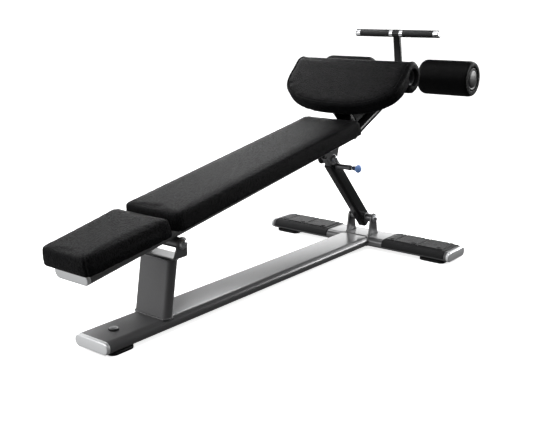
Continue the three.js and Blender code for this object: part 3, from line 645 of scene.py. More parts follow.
@dataclass
class Base:
    """The T-shaped base: tubes, caps, feet, plug and welds."""

    foot_corner: float = 0.020
    weld: float = 0.0026

    def __post_init__(self) -> None:
        """Reads the tubes' places from the frame."""
        low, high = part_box("base_main_tube")
        self.front = low.x
        self.level = (low.z + high.z) / 2
        self.cross = centre("base_cross_tube").x
        self.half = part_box("base_cross_tube")[1].y
        self.at = Place(0.0, self.level)

    def saddle(self, z: np.ndarray) -> np.ndarray:
        """Where the main tube meets the cross tube's round side: x = side - sqrt(r^2 - z^2)."""
        r = TUBE.depth / 2
        return self.cross - (TUBE.width / 2 - r) - np.sqrt(np.maximum(r**2 - z**2, 0.0))

    def tubes(self) -> None:
        """The main tube, cut to the cross tube's side, and the cross tube."""
        stations = [(self.front - 0.0003, TUBE_EDGE), (self.front, 0.0002), (self.front + TUBE_EDGE, 0.0)]
        rings = prism(TUBE.outline, stations + [(self.cross, 0.0)], Along.X)
        rings[-1, :, 0] = self.saddle(rings[-1, :, 2]) + 0.001
        piece("main_tube", Shape().add(rings, self.at).mesh("main_tube"), GRAPHITE, "base", "base_main_tube")
        edge = [(-self.half, TUBE_EDGE), (-self.half + TUBE_EDGE, 0.0),
                (self.half - TUBE_EDGE, 0.0), (self.half, TUBE_EDGE)]
        across = prism(TUBE.outline, edge, Along.X)[..., [1, 0, 2]] * np.array([-1.0, 1.0, 1.0])
        cross = Shape().add(across, Place(self.cross, self.level))
        piece("cross_tube", cross.mesh("cross_tube"), GRAPHITE, "base", "base_cross_tube")
        path = prism(TUBE.outline, [(0.0, 0.0)], Along.X)[0]
        path[:, 0] = self.saddle(path[:, 2])
        path = fine(path, WELD_STEP)
        path += np.array([-0.0004, 0.0, 0.0])
        welds = Shape().add(bead(path, self.weld), self.at, loop=True)
        piece("cross_weld", welds.mesh("cross_weld"), GRAPHITE, "base")

    def caps(self) -> None:
        """Silver caps on the three open ends."""
        front = Shape().add(TUBE.cap(-1.0), Place(self.front, self.level))
        piece("front_cap", front.mesh("front_cap"), SILVER, "base", "base_front_cap")
        for side, sign in SIDES:
            rings = TUBE.cap(1.0)[..., [1, 0, 2]] * np.array([1.0, sign, 1.0])
            rings[..., 1] += sign * self.half
            cap = Shape().add(rings, Place(self.cross, self.level))
            piece(f"side_cap_{side}", cap.mesh(f"side_cap_{side}"), SILVER, "base", f"cross_cap_{side}")

    def feet(self) -> None:
        """Rubber feet: rounded slabs with a groove round the waist."""
        for node in ("front_foot", "cross_foot_left", "cross_foot_right"):
            low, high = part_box(node)
            size, mid = high - low, (high + low) / 2
            rim = rounded(0.0, size.z, 0.0028)
            waist = [(0.0045, 0.0), (0.0052, 0.0), (0.006, 0.0012), (0.0068, 0.0), (0.0075, 0.0)]
            rings = prism(round_rect(size.x, size.y, self.foot_corner), rim[:5] + waist + rim[5:], Along.Z)
            rings[..., 1] += mid.y
            piece(f"{node}_rubber", Shape().add(rings, Place(mid.x, 0.0)).mesh(node), RUBBER, "base", node)

    def plug(self) -> None:
        """The round plug on the tube's top: a low painted crown inside a black rubber ring, whose dark band is
        painted shade for the shadow round the plug's rim.
        """
        low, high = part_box("base_top_plug")
        top = high.z
        place = Place((low.x + high.x) / 2, 0.0)
        # The black ring round the crown is painted shade: it stands in for the shadow round the plug's rim.
        shadow_ring = soften([(0, top - 0.007), (0.0158, top - 0.0066), (0.016, top - 0.0040),
                         (0.0140, top - 0.0030), (0, top - 0.0030)], 0.0010)
        shadow_ring[[0, -1], 0] = 0.0
        ring = Shape().add(turned(shadow_ring, Along.Z), place)
        piece("plug_shadow_ring", ring.mesh("plug_shadow_ring"), RUBBER, "base", "base_top_plug")
        crown = soften([(0, top - 0.0034), (0.0132, top - 0.0034), (0.0132, top - 0.0012),
                        (0.010, top - 0.0003), (0, top)], 0.0012)
        crown[[0, -1], 0] = 0.0
        disc = Shape().add(turned(crown, Along.Z), place)
        piece("plug_crown", disc.mesh("plug_crown"), GRAPHITE, "base")

    def build(self) -> None:
        """Every piece of the base frame."""
        self.tubes()
        self.caps()
        self.feet()
        self.plug()


@dataclass
class StepCovers:
    """Rubber step covers that saddle the cross tube, with treads and screws."""

    skin: float = 0.003
    skirt: float = -0.007
    tread_half: float = 0.054
    treads: tuple[tuple[float, float], ...] = ((0.016, 0.118), (0.121, 0.219), (0.222, 0.266))
    screws: tuple[float, ...] = (0.036, 0.140, 0.238)
    screw_side: float = 0.044

    def shell(self, length: float) -> Grid:
        """A C-shaped skin round the tube's top, thinned at its two ends to a soft rim."""
        reach = (TUBE.width - TUBE.depth) / 2
        dip = math.asin(-self.skirt / (TUBE.depth / 2 + self.skin))
        turn = np.linspace(-dip, np.pi / 2, 16)

        def half(radius: float) -> np.ndarray:
            """One arc from the right-hand skirt over the top to the left-hand one, at a radius."""
            right = np.stack([reach + radius * np.cos(turn), radius * np.sin(turn)], 1)
            return np.vstack([right, right[::-1] * np.array([-1.0, 1.0])])

        rings = []
        stations = [(0.0, 0.0011), (0.0006, 0.0021), (0.0018, self.skin)]
        for y, thick in stations + [(length - y, thick) for y, thick in stations[::-1]]:
            outer = half(TUBE.depth / 2 + thick)
            flat = np.vstack([outer, half(TUBE.depth / 2 + 0.0003)[::-1]])
            rings.append(np.stack([flat[:, 0], np.full(len(flat), y), flat[:, 1]], 1))
        return np.array(rings)

    def tread(self, low: float, high: float, ramp: bool) -> tuple[Grid, Grid]:
        """A tread's top and bottom grids.

        The top is flat with a round rim: with d the distance to the border and r = 3 mm, its height is
        h sqrt(1 - (1 - d/r)^2). Each screw sinks it by 2.6 mm inside 9 mm. Fine ribs 0.25 mm high run
        across the tread every 3 mm, and a ramped tread falls away over its last third.
        """
        u = np.linspace(-self.tread_half, self.tread_half, 109)
        v = np.linspace(low, high, int((high - low) / 0.001))
        x, y = np.meshgrid(u, v, indexing="ij")
        mid, half = (low + high) / 2, (high - low) / 2
        corner = 0.004
        qx, qy = np.abs(x) - self.tread_half + corner, np.abs(y - mid) - half + corner
        d = corner - np.hypot(np.maximum(qx, 0), np.maximum(qy, 0)) - np.minimum(np.maximum(qx, qy), 0)
        t = np.clip(d / 0.003, 0.0, 1.0)
        rise = 0.005 * np.sqrt(np.maximum(1 - (1 - t) ** 2, 0.0))
        rib = 0.00025 * (0.5 + 0.5 * np.cos(2 * np.pi * y / 0.003)) * np.clip((d - 0.004) / 0.002, 0.0, 1.0)
        dish = np.zeros_like(x)
        for along in self.screws:
            for side in (-1, 1):
                near = np.hypot(x - side * self.screw_side, y - along)
                dish = np.maximum(dish, 0.0026 * np.clip((0.0095 - near) / 0.0012, 0.0, 1.0))
        fall = 0.0038 * np.clip((y - mid) / half, 0.0, 1.0) ** 1.5 if ramp else 0.0
        base = TUBE.depth / 2 + 0.0012
        top = np.maximum(base + rise + rib - dish - fall * t, base)
        return np.stack([x, y, top], -1), np.stack([x, y, np.full_like(x, base - 0.0008)], -1)

    def screw(self) -> Grid:
        """A pan head: z falls as 1.4 mm (r/R)^2 from its crown, with a cross sunk 1 mm into it."""
        r = np.linspace(0.0, 1.0, 15)[::-1, None]
        a = np.linspace(0.0, 2 * np.pi, 48, endpoint=False)[None, :]
        x, y = 0.0046 * r * np.cos(a), 0.0046 * r * np.sin(a)
        arm = np.minimum(np.abs(x), np.abs(y))
        cut, reach = (0.00075 - arm) / 0.0003, (0.0030 - 0.0046 * r) / 0.0004
        sink = 0.0010 * np.clip(cut, 0, 1) * np.clip(reach, 0, 1)
        z = 0.0022 - 0.0014 * r**2 - sink
        top = np.stack([x, y, z + 0 * x], -1)
        rim = top[:1] * np.array([1.0, 1.0, 0.0])
        return np.concatenate([rim, top])

    def build(self) -> None:
        """Both covers and their screws."""
        for side, _ in SIDES:
            low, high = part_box(f"step_cover_{side}")
            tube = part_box("base_cross_tube")
            at = Place((low.x + high.x) / 2, (tube[0].z + tube[1].z) / 2)
            cover = Shape().add(self.shell(high.y - low.y), at, shift=low.y)
            screws = Shape()
            for number, (start, end) in enumerate(self.treads):
                top, bottom = self.tread(start, end, number == 2)
                move = np.array([0.0, low.y, 0.0])
                cover.add_slab(top + move, bottom + move, at)
            for along in self.screws:
                for hand in (-1, 1):
                    spot = np.array([hand * self.screw_side, low.y + along, TUBE.depth / 2 + 0.0036])
                    screws.add(self.screw() + spot, at)
            piece(f"step_cover_{side}_rubber", cover.mesh("step_cover"), RUBBER, "base", f"step_cover_{side}")
            piece(f"step_screws_{side}", screws.mesh("step_screws"), PLASTIC, "base")


# ---------------------------------------------------------------------------- pivots
def dome(radius: float, rise: float, skirt: float, count: int = 9) -> np.ndarray:
    """A domed head's profile from its flat face: a short skirt, then an ellipse up to the crown."""
    turn = np.linspace(0.08, np.pi / 2, count)
    rim = [(0.0, 0.0), (radius - 0.0006, 0.0), (radius, 0.0006), (radius, skirt)]
    top = np.stack([radius * np.cos(turn), skirt + rise * np.sin(turn)], 1)
    top[-1, 0] = 0.0
    return np.vstack([rim, top])


def washer(radius: float, bore: float, thick: float) -> np.ndarray:
    """A washer's closed profile with softened rims."""
    ring = [(bore, 0.0), (radius, 0.0), (radius, thick), (bore, thick)]
    return soften(ring, 0.0004, closed=True, steps=3)


def socket_head(radius: float, rise: float, key: float) -> Grid:
    """A button head: z = rise (1 - (r/R)^2) above a skirt, with a hexagon key socket sunk in it."""
    r = np.r_[np.linspace(0.0, 1.0, 34)][::-1, None]
    a = np.linspace(0.0, 2 * np.pi, 72, endpoint=False)[None, :]
    flat = radius * r * np.cos((a % (np.pi / 3)) - np.pi / 6)
    sink = 0.6 * rise * np.clip((key - flat) / 0.0005, 0.0, 1.0)
    height = 0.002 + rise * (1 - r**2) - sink
    top = np.stack([radius * r * np.cos(a), height, radius * r * np.sin(a)], -1)
    return np.concatenate([top[:1] * np.array([1.0, 0.0, 1.0]), top])


HEAD_STANDS_OUT = 0.009


@dataclass(frozen=True)
class Pivot:
    """A bolt across two ears: a button head on the left, a domed nut and washers on the right."""

    label: str
    bolt: str
    nut: str
    body: str
    radius: float
    washer_radius: float

    def build(self) -> None:
        """The head with its washer, and the nut with its washer."""
        at = centre(self.nut)
        head_face = self.face(self.bolt, 1.0)
        nut_face = self.face(self.nut, -1.0)
        head = Shape().add(socket_head(self.radius, 0.0062, self.radius * 0.42), at, shift=head_face)
        head.add(turned(washer(self.washer_radius, self.radius * 0.6, 0.0012)), at, True, head_face - 0.0001)
        piece(f"{self.label}_head", head.mesh("bolt_head"), STEEL, self.body, self.bolt)
        cap = turned(dome(self.radius, 0.0098, 0.0030)) * np.array([1.0, -1.0, 1.0])
        nut = Shape().add(cap, at, shift=nut_face)
        ring = turned(washer(self.washer_radius, self.radius * 0.6, 0.0012)) * np.array([1.0, -1.0, 1.0])
        nut.add(ring, at, True, nut_face + 0.0001)
        piece(f"{self.label}_nut_dome", nut.mesh("nut_dome"), STEEL, self.body, self.nut)

    def face(self, node: str, sign: float) -> float:
        """Where the head or nut meets its ear, from the node's outer end and the shape's height."""
        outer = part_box(node)[1].y
        return outer - HEAD_STANDS_OUT if sign > 0 else outer


def ear(foot: tuple[float, float], foot_z: float, eye: tuple[float, float], radius: float,
        count: int = 120) -> np.ndarray:
    """A plate ear's outline: a round eye joined to its foot by straight flanks.

    The eye's arc runs from one flank's end to the other, 0 to 180 degrees; the foot's corners are softened.
    """
    turn = np.linspace(0.0, np.pi, 33)
    arc = np.stack([eye[0] + radius * np.cos(turn), eye[1] + radius * np.sin(turn)], 1)
    line = np.vstack([arc, [(foot[0], foot_z), (foot[1], foot_z)]])
    return spread(soften(line, 0.0012, closed=True, steps=2), count)


def plate(outline: np.ndarray, low: float, high: float, edge: float = 0.0009) -> Grid:
    """A flat plate across Y with rounded rims."""
    return prism(polygon(outline), rounded(low, high, edge, 3), Along.Y)


@dataclass
class Post:
    """The leaning post, its yoke, welds and main pivot."""

    lean: float = 9.6
    wall: float = 0.006
    eye: float = 0.020

    def column(self) -> None:
        """The post: an oval sheared along its lean, so that its two ends are level."""
        low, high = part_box("front_post")
        slope, cos = math.tan(math.radians(self.lean)), math.cos(math.radians(self.lean))
        start = low.x + TUBE.depth / 2 / cos

        def ring(z: float, grow: float = 0.0) -> np.ndarray:
            """The column's level section at height z, swollen by `grow`."""
            flat = TUBE.outline(-grow)
            x = start + (z - low.z) * slope + flat[:, 1] / cos
            return np.stack([x, flat[:, 0], np.full(len(flat), z)], 1)

        rings = np.array([ring(low.z - 0.0003), ring(high.z + 0.0003)])
        piece("post_column", Shape().add(rings).mesh("post_column"), GRAPHITE, "base", "front_post")
        welds = Shape()
        for z, size in ((low.z + 0.0006, 0.0030), (high.z - 0.0004, 0.0024)):
            path = fine(ring(z, 0.0006), WELD_STEP)
            welds.add(bead(path, size), loop=True)
        piece("post_welds", welds.mesh("post_welds"), GRAPHITE, "base")

    def yoke(self) -> None:
        """One bent plate, U-shaped across the bench.

        Its middle line runs up one ear, round a bend of 7 mm, across, and up the other. At each point the
        section is |u|^p + |t|^p = 1 with p = 14, scaled to the plate's width and half its wall. Above the
        eye's centre the width is the eye's chord.
        """
        low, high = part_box("post_yoke")
        eye = centre("main_pivot_nut")
        half, floor = high.y - self.wall / 2, low.z + self.wall / 2
        turn = np.linspace(0.0, np.pi / 2, 9)
        bend = 0.007
        crown = eye.z + self.eye * np.sin(np.linspace(0, np.pi / 2, 18))[1:]
        rise = np.r_[np.linspace(floor + bend, eye.z, 12), crown]
        right = np.stack([np.full(len(rise), -half), rise], 1)[::-1]
        corner = np.stack([-half + bend * (1 - np.cos(turn)), floor + bend * (1 - np.sin(turn))], 1)[1:]
        line = np.vstack([right, corner])
        line = np.vstack([line, line[::-1] * np.array([-1.0, 1.0])])
        part = np.clip((line[:, 1] - low.z) / (eye.z - low.z), 0.0, 1.0)
        front = low.x + (eye.x - self.eye - low.x) * part
        back = high.x + (eye.x + self.eye - high.x) * part
        above = np.clip(line[:, 1] - eye.z, 0.0, self.eye)
        chord = np.sqrt(np.maximum(self.eye**2 - above**2, 0.0))
        over = above > 0
        front, back = np.where(over, eye.x - chord, front), np.where(over, eye.x + chord, back)
        tangent = np.gradient(line, axis=0)
        tangent /= np.linalg.norm(tangent, axis=1, keepdims=True)
        normal = np.stack([-tangent[:, 1], tangent[:, 0]], 1)
        a = np.linspace(0.0, 2 * np.pi, 48, endpoint=False)
        u, t = (np.sign(f(a)) * np.abs(f(a)) ** (2 / 14) for f in (np.cos, np.sin))
        x = ((front + back) / 2)[:, None] + ((back - front) / 2)[:, None] * u
        y = line[:, :1] + normal[:, :1] * t * self.wall / 2
        z = line[:, 1:] + normal[:, 1:] * t * self.wall / 2
        shape = Shape().add(np.stack([x, y, z], -1))
        piece("yoke_plate", shape.mesh("yoke_plate"), GRAPHITE, "base", "post_yoke", sharp=50.0)

    def build(self) -> None:
        """Post, yoke and main pivot."""
        self.column()
        self.yoke()
        Pivot("main_pivot", "main_pivot_bolt", "main_pivot_nut", "base", 0.0150, 0.0175).build()


# ---------------------------------------------------------------------------- strut
@dataclass
class Strut:
    """The telescoping strut with its ears and pull pin, all from its lower pivot."""

    depth: float = 0.054
    width: float = 0.040
    corner: float = 0.011
    above: float = 0.350
    below: float = 0.024
    pin_along: float = 0.336

    def __post_init__(self) -> None:
        """Sets the strut's place: its foot's eye, with Z along the tube through the pull pin."""
        foot, pin = centre("strut_lower_sleeve"), centre("pop_pin_housing")
        self.foot = foot
        self.at = Place(foot.x, foot.z, math.degrees(math.atan2(foot.x - pin.x, pin.z - foot.z)))

    def ears(self) -> None:
        """Two ears welded on the cross tube."""
        for side, _ in SIDES:
            node = f"strut_ear_{side}"
            low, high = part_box(node)
            line = ear((low.x, high.x), low.z, (self.foot.x, self.foot.z), high.z - self.foot.z)
            shape = Shape().add(plate(line, low.y, high.y))
            corners = [(low.x, low.y), (high.x, low.y), (high.x, high.y), (low.x, high.y)]
            rim = soften(corners, 0.002, closed=True)
            path = fine(np.column_stack([rim, np.full(len(rim), low.z + 0.0008)]), 0.0011)
            shape.add(bead(path, 0.0030), loop=True)
            piece(f"{node}_plate", shape.mesh(node), GRAPHITE, "base", node)

    def tubes(self) -> None:
        """The outer tube, its plug and bush, the sleeve with its welds, and the inner tube."""
        outline = round_rect(self.depth, self.width, self.corner)
        rim = rounded(-self.below, self.above, 0.0008, 2)
        outer = Shape().add(prism(outline, rim, Along.Z), self.at)
        # The outer tube takes the darkened graphite: painted shade for the shadow under the bench.
        piece("outer_tube", outer.mesh("outer_tube"), DARK_PAINT_AND_SHADE, "strut_outer", "strut_outer_tube")
        low = rounded(-self.below - 0.006, -self.below - 0.0003, 0.0022)
        plug = Shape().add(prism(outline, low, Along.Z), self.at)
        piece("bottom_plug", plug.mesh("bottom_plug"), PLASTIC, "strut_outer", "strut_bottom_plug")
        inside, outside = round_rect(0.0426, 0.0306, 0.0083), outline
        lip = [prism(o, [(h, i)], Along.Z)[0] for o, h, i in (
            (inside, 0.3503, 0.0), (outside, 0.3503, 0.0), (outside, 0.3530, 0.0), (outside, 0.3538, 0.0005),
            (outside, 0.3543, 0.0014), (inside, 0.3543, -0.0006), (inside, 0.3538, 0.0))]
        bush = Shape().add(np.array(lip), self.at, loop=True)
        piece("bush_lip", bush.mesh("bush_lip"), PLASTIC, "strut_outer", "strut_guide_bush")
        ring = soften([(0.0083, -0.0475), (0.016, -0.0475), (0.016, 0.0475), (0.0083, 0.0475)], 0.001,
                      closed=True)
        sleeve = Shape().add(turned(ring), self.at, loop=True)
        turn = np.linspace(0.0, 2 * np.pi, 90, endpoint=False)
        for sign in (-1.0, 1.0):
            path = np.stack([0.0166 * np.cos(turn), np.full(90, sign * (self.width / 2 + 0.0003)),
                             0.0166 * np.sin(turn)], 1)
            sleeve.add(bead(path, 0.0024), self.at, loop=True)
        piece("pivot_sleeve", sleeve.mesh("pivot_sleeve"), PALE_GRAPHITE, "strut_outer", "strut_lower_sleeve")
        refined("strut_inner_tube", PALE_GRAPHITE, "strut_inner")

    def pull_pin(self) -> None:
        """Housing with a welded root and a lock nut, the plunger's stem, its collar and the knob.

        The stem reaches 30 mm into the housing, so that it stays in it when the pin is pulled out 12 mm.
        """
        spot = self.at.child(0.0, self.pin_along)
        end = -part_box("pop_pin_housing")[0].y
        wall = self.width / 2
        shell = soften([(0.0, wall - 0.002), (0.0128, wall - 0.002), (0.0122, wall + 0.003),
                        (0.0095, wall + 0.006), (0.0095, end - 0.012), (0.0102, end - 0.0115),
                        (0.0102, end - 0.001), (0.0088, end), (0.0, end)], 0.001)
        flip = np.array([1.0, -1.0, 1.0])
        housing = Shape().add(turned(shell) * flip, spot)
        piece("pin_housing", housing.mesh("pin_housing"), PALE_GRAPHITE, "strut_outer", "pop_pin_housing",
              "pop_pin_spring")
        radius, inner, outer = 0.0042, end - 0.030, end + 0.012
        stem = soften([(0.0, inner), (radius, inner), (radius, outer), (0.0, outer)], 0.0004)
        rod = Shape().add(turned(stem) * flip, spot)
        piece("pin_stem", rod.mesh("pin_stem"), STEEL, "pin", "pop_pin_plunger")
        start, tip = end + 0.007, -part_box("pop_pin_knob")[0].y
        neck = soften([(0.0, start), (0.0080, start), (0.0084, start + 0.006), (0.0092, start + 0.012),
                       (0.0118, start + 0.0165), (0.0, start + 0.0165)], 0.0015)
        collar = Shape().add(turned(neck) * flip, spot)
        piece("knob_collar", collar.mesh("knob_collar"), NAVY, "pin")
        turn = np.linspace(-0.5, np.pi / 2, 16)
        mid = start + 0.0235
        cap = np.stack([0.0155 * np.cos(turn), mid + np.where(turn < 0, 0.013, tip - mid) * np.sin(turn)], 1)
        cap = np.vstack([[0.0, cap[0, 1]], cap])
        cap[-1, 0] = 0.0
        knob = Shape().add(turned(cap) * flip, spot)
        piece("knob_cap", knob.mesh("knob_cap"), BLUE, "pin", "pop_pin_knob")

    def build(self) -> None:
        """Ears, tubes, pull pin and lower pivot."""
        self.ears()
        self.tubes()
        self.pull_pin()
        Pivot("lower_pivot", "strut_lower_bolt", "strut_lower_nut", "base", radius=0.0130,
              washer_radius=0.0155).build()


# ---------------------------------------------------------------------------- bench frame
@dataclass
class BenchFrame:
    """The tilting frame: bench tube, support tube past its bend, caps, sleeve, bracket and pad bolts."""

    tilt: float = 10.0
    start: float = -0.340
    bend: float = 0.985
    lift: float = 0.0365
    rise: float = 15.2
    support_length: float = 0.498
    pad_bolts: tuple[float, ...] = (-0.270, -0.130, 0.110, 0.420, 0.730)

    def __post_init__(self) -> None:
        """Sets the places of the frame, of its tube and of the support tube past the bend."""
        pivot = centre("main_pivot_sleeve")
        self.at = Place(pivot.x, pivot.z, self.tilt)
        self.tube_at = self.at.child(0.0, self.lift)
        self.support_at = self.at.child(self.bend, self.lift, self.rise)

    def tubes(self) -> None:
        """Both tubes, mitred at the bend: each end ring leans by half the bend's angle."""
        lean = math.tan(math.radians(self.rise / 2))
        open_end = [(self.start - 0.0003, TUBE_EDGE), (self.start + 0.0006, 0.0), (self.bend, 0.0)]
        lower = prism(TUBE.outline, open_end, Along.X)
        lower[-1, :, 0] -= lower[-1, :, 2] * lean
        shape = Shape().add(lower, self.tube_at)
        piece("bench_tube_skin", shape.mesh("bench_tube"), GRAPHITE, "bench", "bench_tube")
        top_end = [(0.0, 0.0), (self.support_length, 0.0), (self.support_length + 0.0003, TUBE_EDGE)]
        upper = prism(TUBE.outline, top_end, Along.X)
        upper[0, :, 0] += upper[0, :, 2] * lean
        path = fine(upper[0], WELD_STEP)
        shape = Shape().add(upper, self.support_at)
        # The support tube takes the darkened graphite: painted shade under the thigh pad.
        piece("support_tube_skin", shape.mesh("support_tube"), DARK_PAINT_AND_SHADE, "bench", "support_tube")
        weld = Shape().add(bead(path, 0.0024), self.support_at, loop=True)
        piece("bend_weld", weld.mesh("bend_weld"), GRAPHITE, "bench")

    def caps(self) -> None:
        """The silver head cap and the black cap at the upper end."""
        head = Shape().add(TUBE.cap(-1.0), self.tube_at.child(self.start, 0.0))
        piece("head_cap", head.mesh("head_cap"), SILVER, "bench", "bench_head_cap")
        end = Shape().add(TUBE.cap(1.0), self.support_at.child(self.support_length, 0.0))
        piece("upper_cap", end.mesh("upper_cap"), PLASTIC, "bench", "support_end_cap")

    def sleeve(self) -> None:
        """The pivot sleeve under the tube with a weld along each side."""
        ring = soften([(0.013, -0.068), (0.017, -0.068), (0.017, 0.068), (0.013, 0.068)], 0.0008, closed=True)
        shape = Shape().add(turned(ring), self.at, loop=True)
        y = np.linspace(-0.062, 0.062, 110)
        for x in (-0.0085, 0.0085):
            path = np.stack([np.full(110, x), y, np.full(110, 0.0163)], 1)
            shape.add(bead(path, 0.0026, closed=False), self.at)
        piece("sleeve_tube", shape.mesh("sleeve_tube"), GRAPHITE, "bench", "main_pivot_sleeve")
        dress(BRONZE, "main_bush_left", "main_bush_right")

    def bracket(self) -> None:
        """The strut's upper bracket, welded round its top plate, and its pivot."""
        refined("upper_bracket", GRAPHITE, "bench")
        middle = self.at.child(0.8806, self.lift - TUBE.depth / 2)
        rim = round_rect(0.096, 0.055, 0.004)(0.0)
        path = fine(np.column_stack([rim, np.full(len(rim), -0.0012)]), WELD_STEP)
        shape = Shape().add(bead(path, 0.0026), middle, loop=True)
        piece("bracket_weld", shape.mesh("bracket_weld"), GRAPHITE, "bench")
        Pivot("upper_pivot", "upper_bolt", "upper_nut", "bench", radius=0.0120, washer_radius=0.0140).build()

    def bolts(self) -> None:
        """Domed pad bolts and their washers on the tube's underside."""
        shape = Shape()
        down = np.array([1.0, 1.0, -1.0])
        for x in self.pad_bolts:
            spot = self.tube_at.child(x, -TUBE.depth / 2)
            for y in (-0.034, 0.034):
                shape.add(turned(dome(0.0070, 0.0042, 0.0016), Along.Z, 32) * down, spot, shift=y)
                ring = turned(washer(0.0100, 0.0055, 0.0011), Along.Z, 32) * down
                shape.add(ring, spot, True, y)
        piece("pad_bolts", shape.mesh("pad_bolts"), STEEL, "bench")

    def build(self) -> None:
        """Every piece of the bench frame but its pads, rollers and handle."""
        self.tubes()
        self.caps()
        self.sleeve()
        self.bracket()
        self.bolts()


# ---------------------------------------------------------------------------- pads
def inflated(name: str, shape: Shape, voxel: float, pressure: float, limit: float,
             held: Callable[[np.ndarray], np.ndarray]) -> bpy.types.Mesh:
    """Puffs a closed foam form up under its cover.

    The form is remeshed in even voxels, then a Cloth with inside pressure and no gravity runs for 20
    frames while its held points stay put. A point's move D is cut to |D| = limit, and eased towards it as
    limit (1 - exp(-|D| / limit)).

    Args:
        name: the mesh's name.
        shape: the form, in the bench's frame.
        voxel: the voxel's size.
        pressure: the Cloth's inside pressure.
        limit: the furthest a point may move.
        held: from points to a mask of those that stay put.

    Returns:
        The puffed mesh, subdivided once.
    """
    made = bpy.data.objects.new(name, shape.mesh(name))
    bpy.context.scene.collection.objects.link(made)
    remesh = made.modifiers.new("voxels", "REMESH")
    remesh.mode, remesh.voxel_size = "VOXEL", voxel
    baked(made)
    rest = points_of(made.data)
    pins = np.flatnonzero(held(rest))
    group = made.vertex_groups.new(name="held")
    group.add(pins.tolist(), 1.0, "REPLACE")
    soft = made.modifiers.new("ease", "SMOOTH")
    soft.factor, soft.iterations = 0.5, 3
    cloth = made.modifiers.new("cover", "CLOTH")
    cloth.settings.use_pressure = True
    cloth.settings.uniform_pressure_force = pressure
    cloth.settings.effector_weights.gravity = 0.0
    cloth.settings.vertex_group_mass = "held"
    cloth.settings.quality = 6
    cloth.settings.tension_stiffness = cloth.settings.compression_stiffness = 22.0
    cloth.settings.bending_stiffness = 3.0
    cloth.point_cache.frame_start, cloth.point_cache.frame_end = 1, 20
    for step in range(1, 21):
        bpy.context.scene.frame_set(step)
    baked(made)
    bpy.context.scene.frame_set(1)
    moved = points_of(made.data)
    push = moved - rest
    far = np.linalg.norm(push, axis=1, keepdims=True)
    eased = rest + push / np.maximum(far, 1e-9) * limit * (1 - np.exp(-far / limit))
    made.data.vertices.foreach_set("co", eased.astype(np.float32).ravel())
    finer = made.modifiers.new("finer", "SUBSURF")
    finer.levels = finer.render_levels = 1
    baked(made)
    mesh = made.data
    bpy.data.objects.remove(made)
    log.info("%s puffed: %d points, furthest %.1f mm", name, len(mesh.vertices), 1000 * far.max())
    return mesh


def baked(made: bpy.types.Object) -> None:
    """Applies every modifier of an object to its mesh."""
    graph = bpy.context.evaluated_depsgraph_get()
    mesh = bpy.data.meshes.new_from_object(made.evaluated_get(graph))
    made.modifiers.clear()
    made.data = mesh


def points_of(mesh: bpy.types.Mesh) -> np.ndarray:
    """A mesh's points as an array."""
    flat = np.empty(len(mesh.vertices) * 3, np.float32)
    mesh.vertices.foreach_get("co", flat)
    return flat.reshape(-1, 3).astype(float)


def normals_of(mesh: bpy.types.Mesh) -> np.ndarray:
    """A mesh's point normals as an array."""
    flat = np.empty(len(mesh.vertices) * 3, np.float32)
    mesh.vertices.foreach_get("normal", flat)
    return flat.reshape(-1, 3).astype(float)


def unput(at: Place, points: np.ndarray) -> np.ndarray:
    """Points in a place's own axes: the place's put, undone."""
    back = Place(0.0, 0.0, -at.tilt)
    return back.put(points - np.array([at.x, 0.0, at.z]))


def pressed(mesh: bpy.types.Mesh, depth: np.ndarray) -> None:
    """Sinks each point of a mesh along its normal by a depth."""
    moved = points_of(mesh) - normals_of(mesh) * depth[:, None]
    mesh.vertices.foreach_set("co", moved.astype(np.float32).ravel())
    mesh.update()


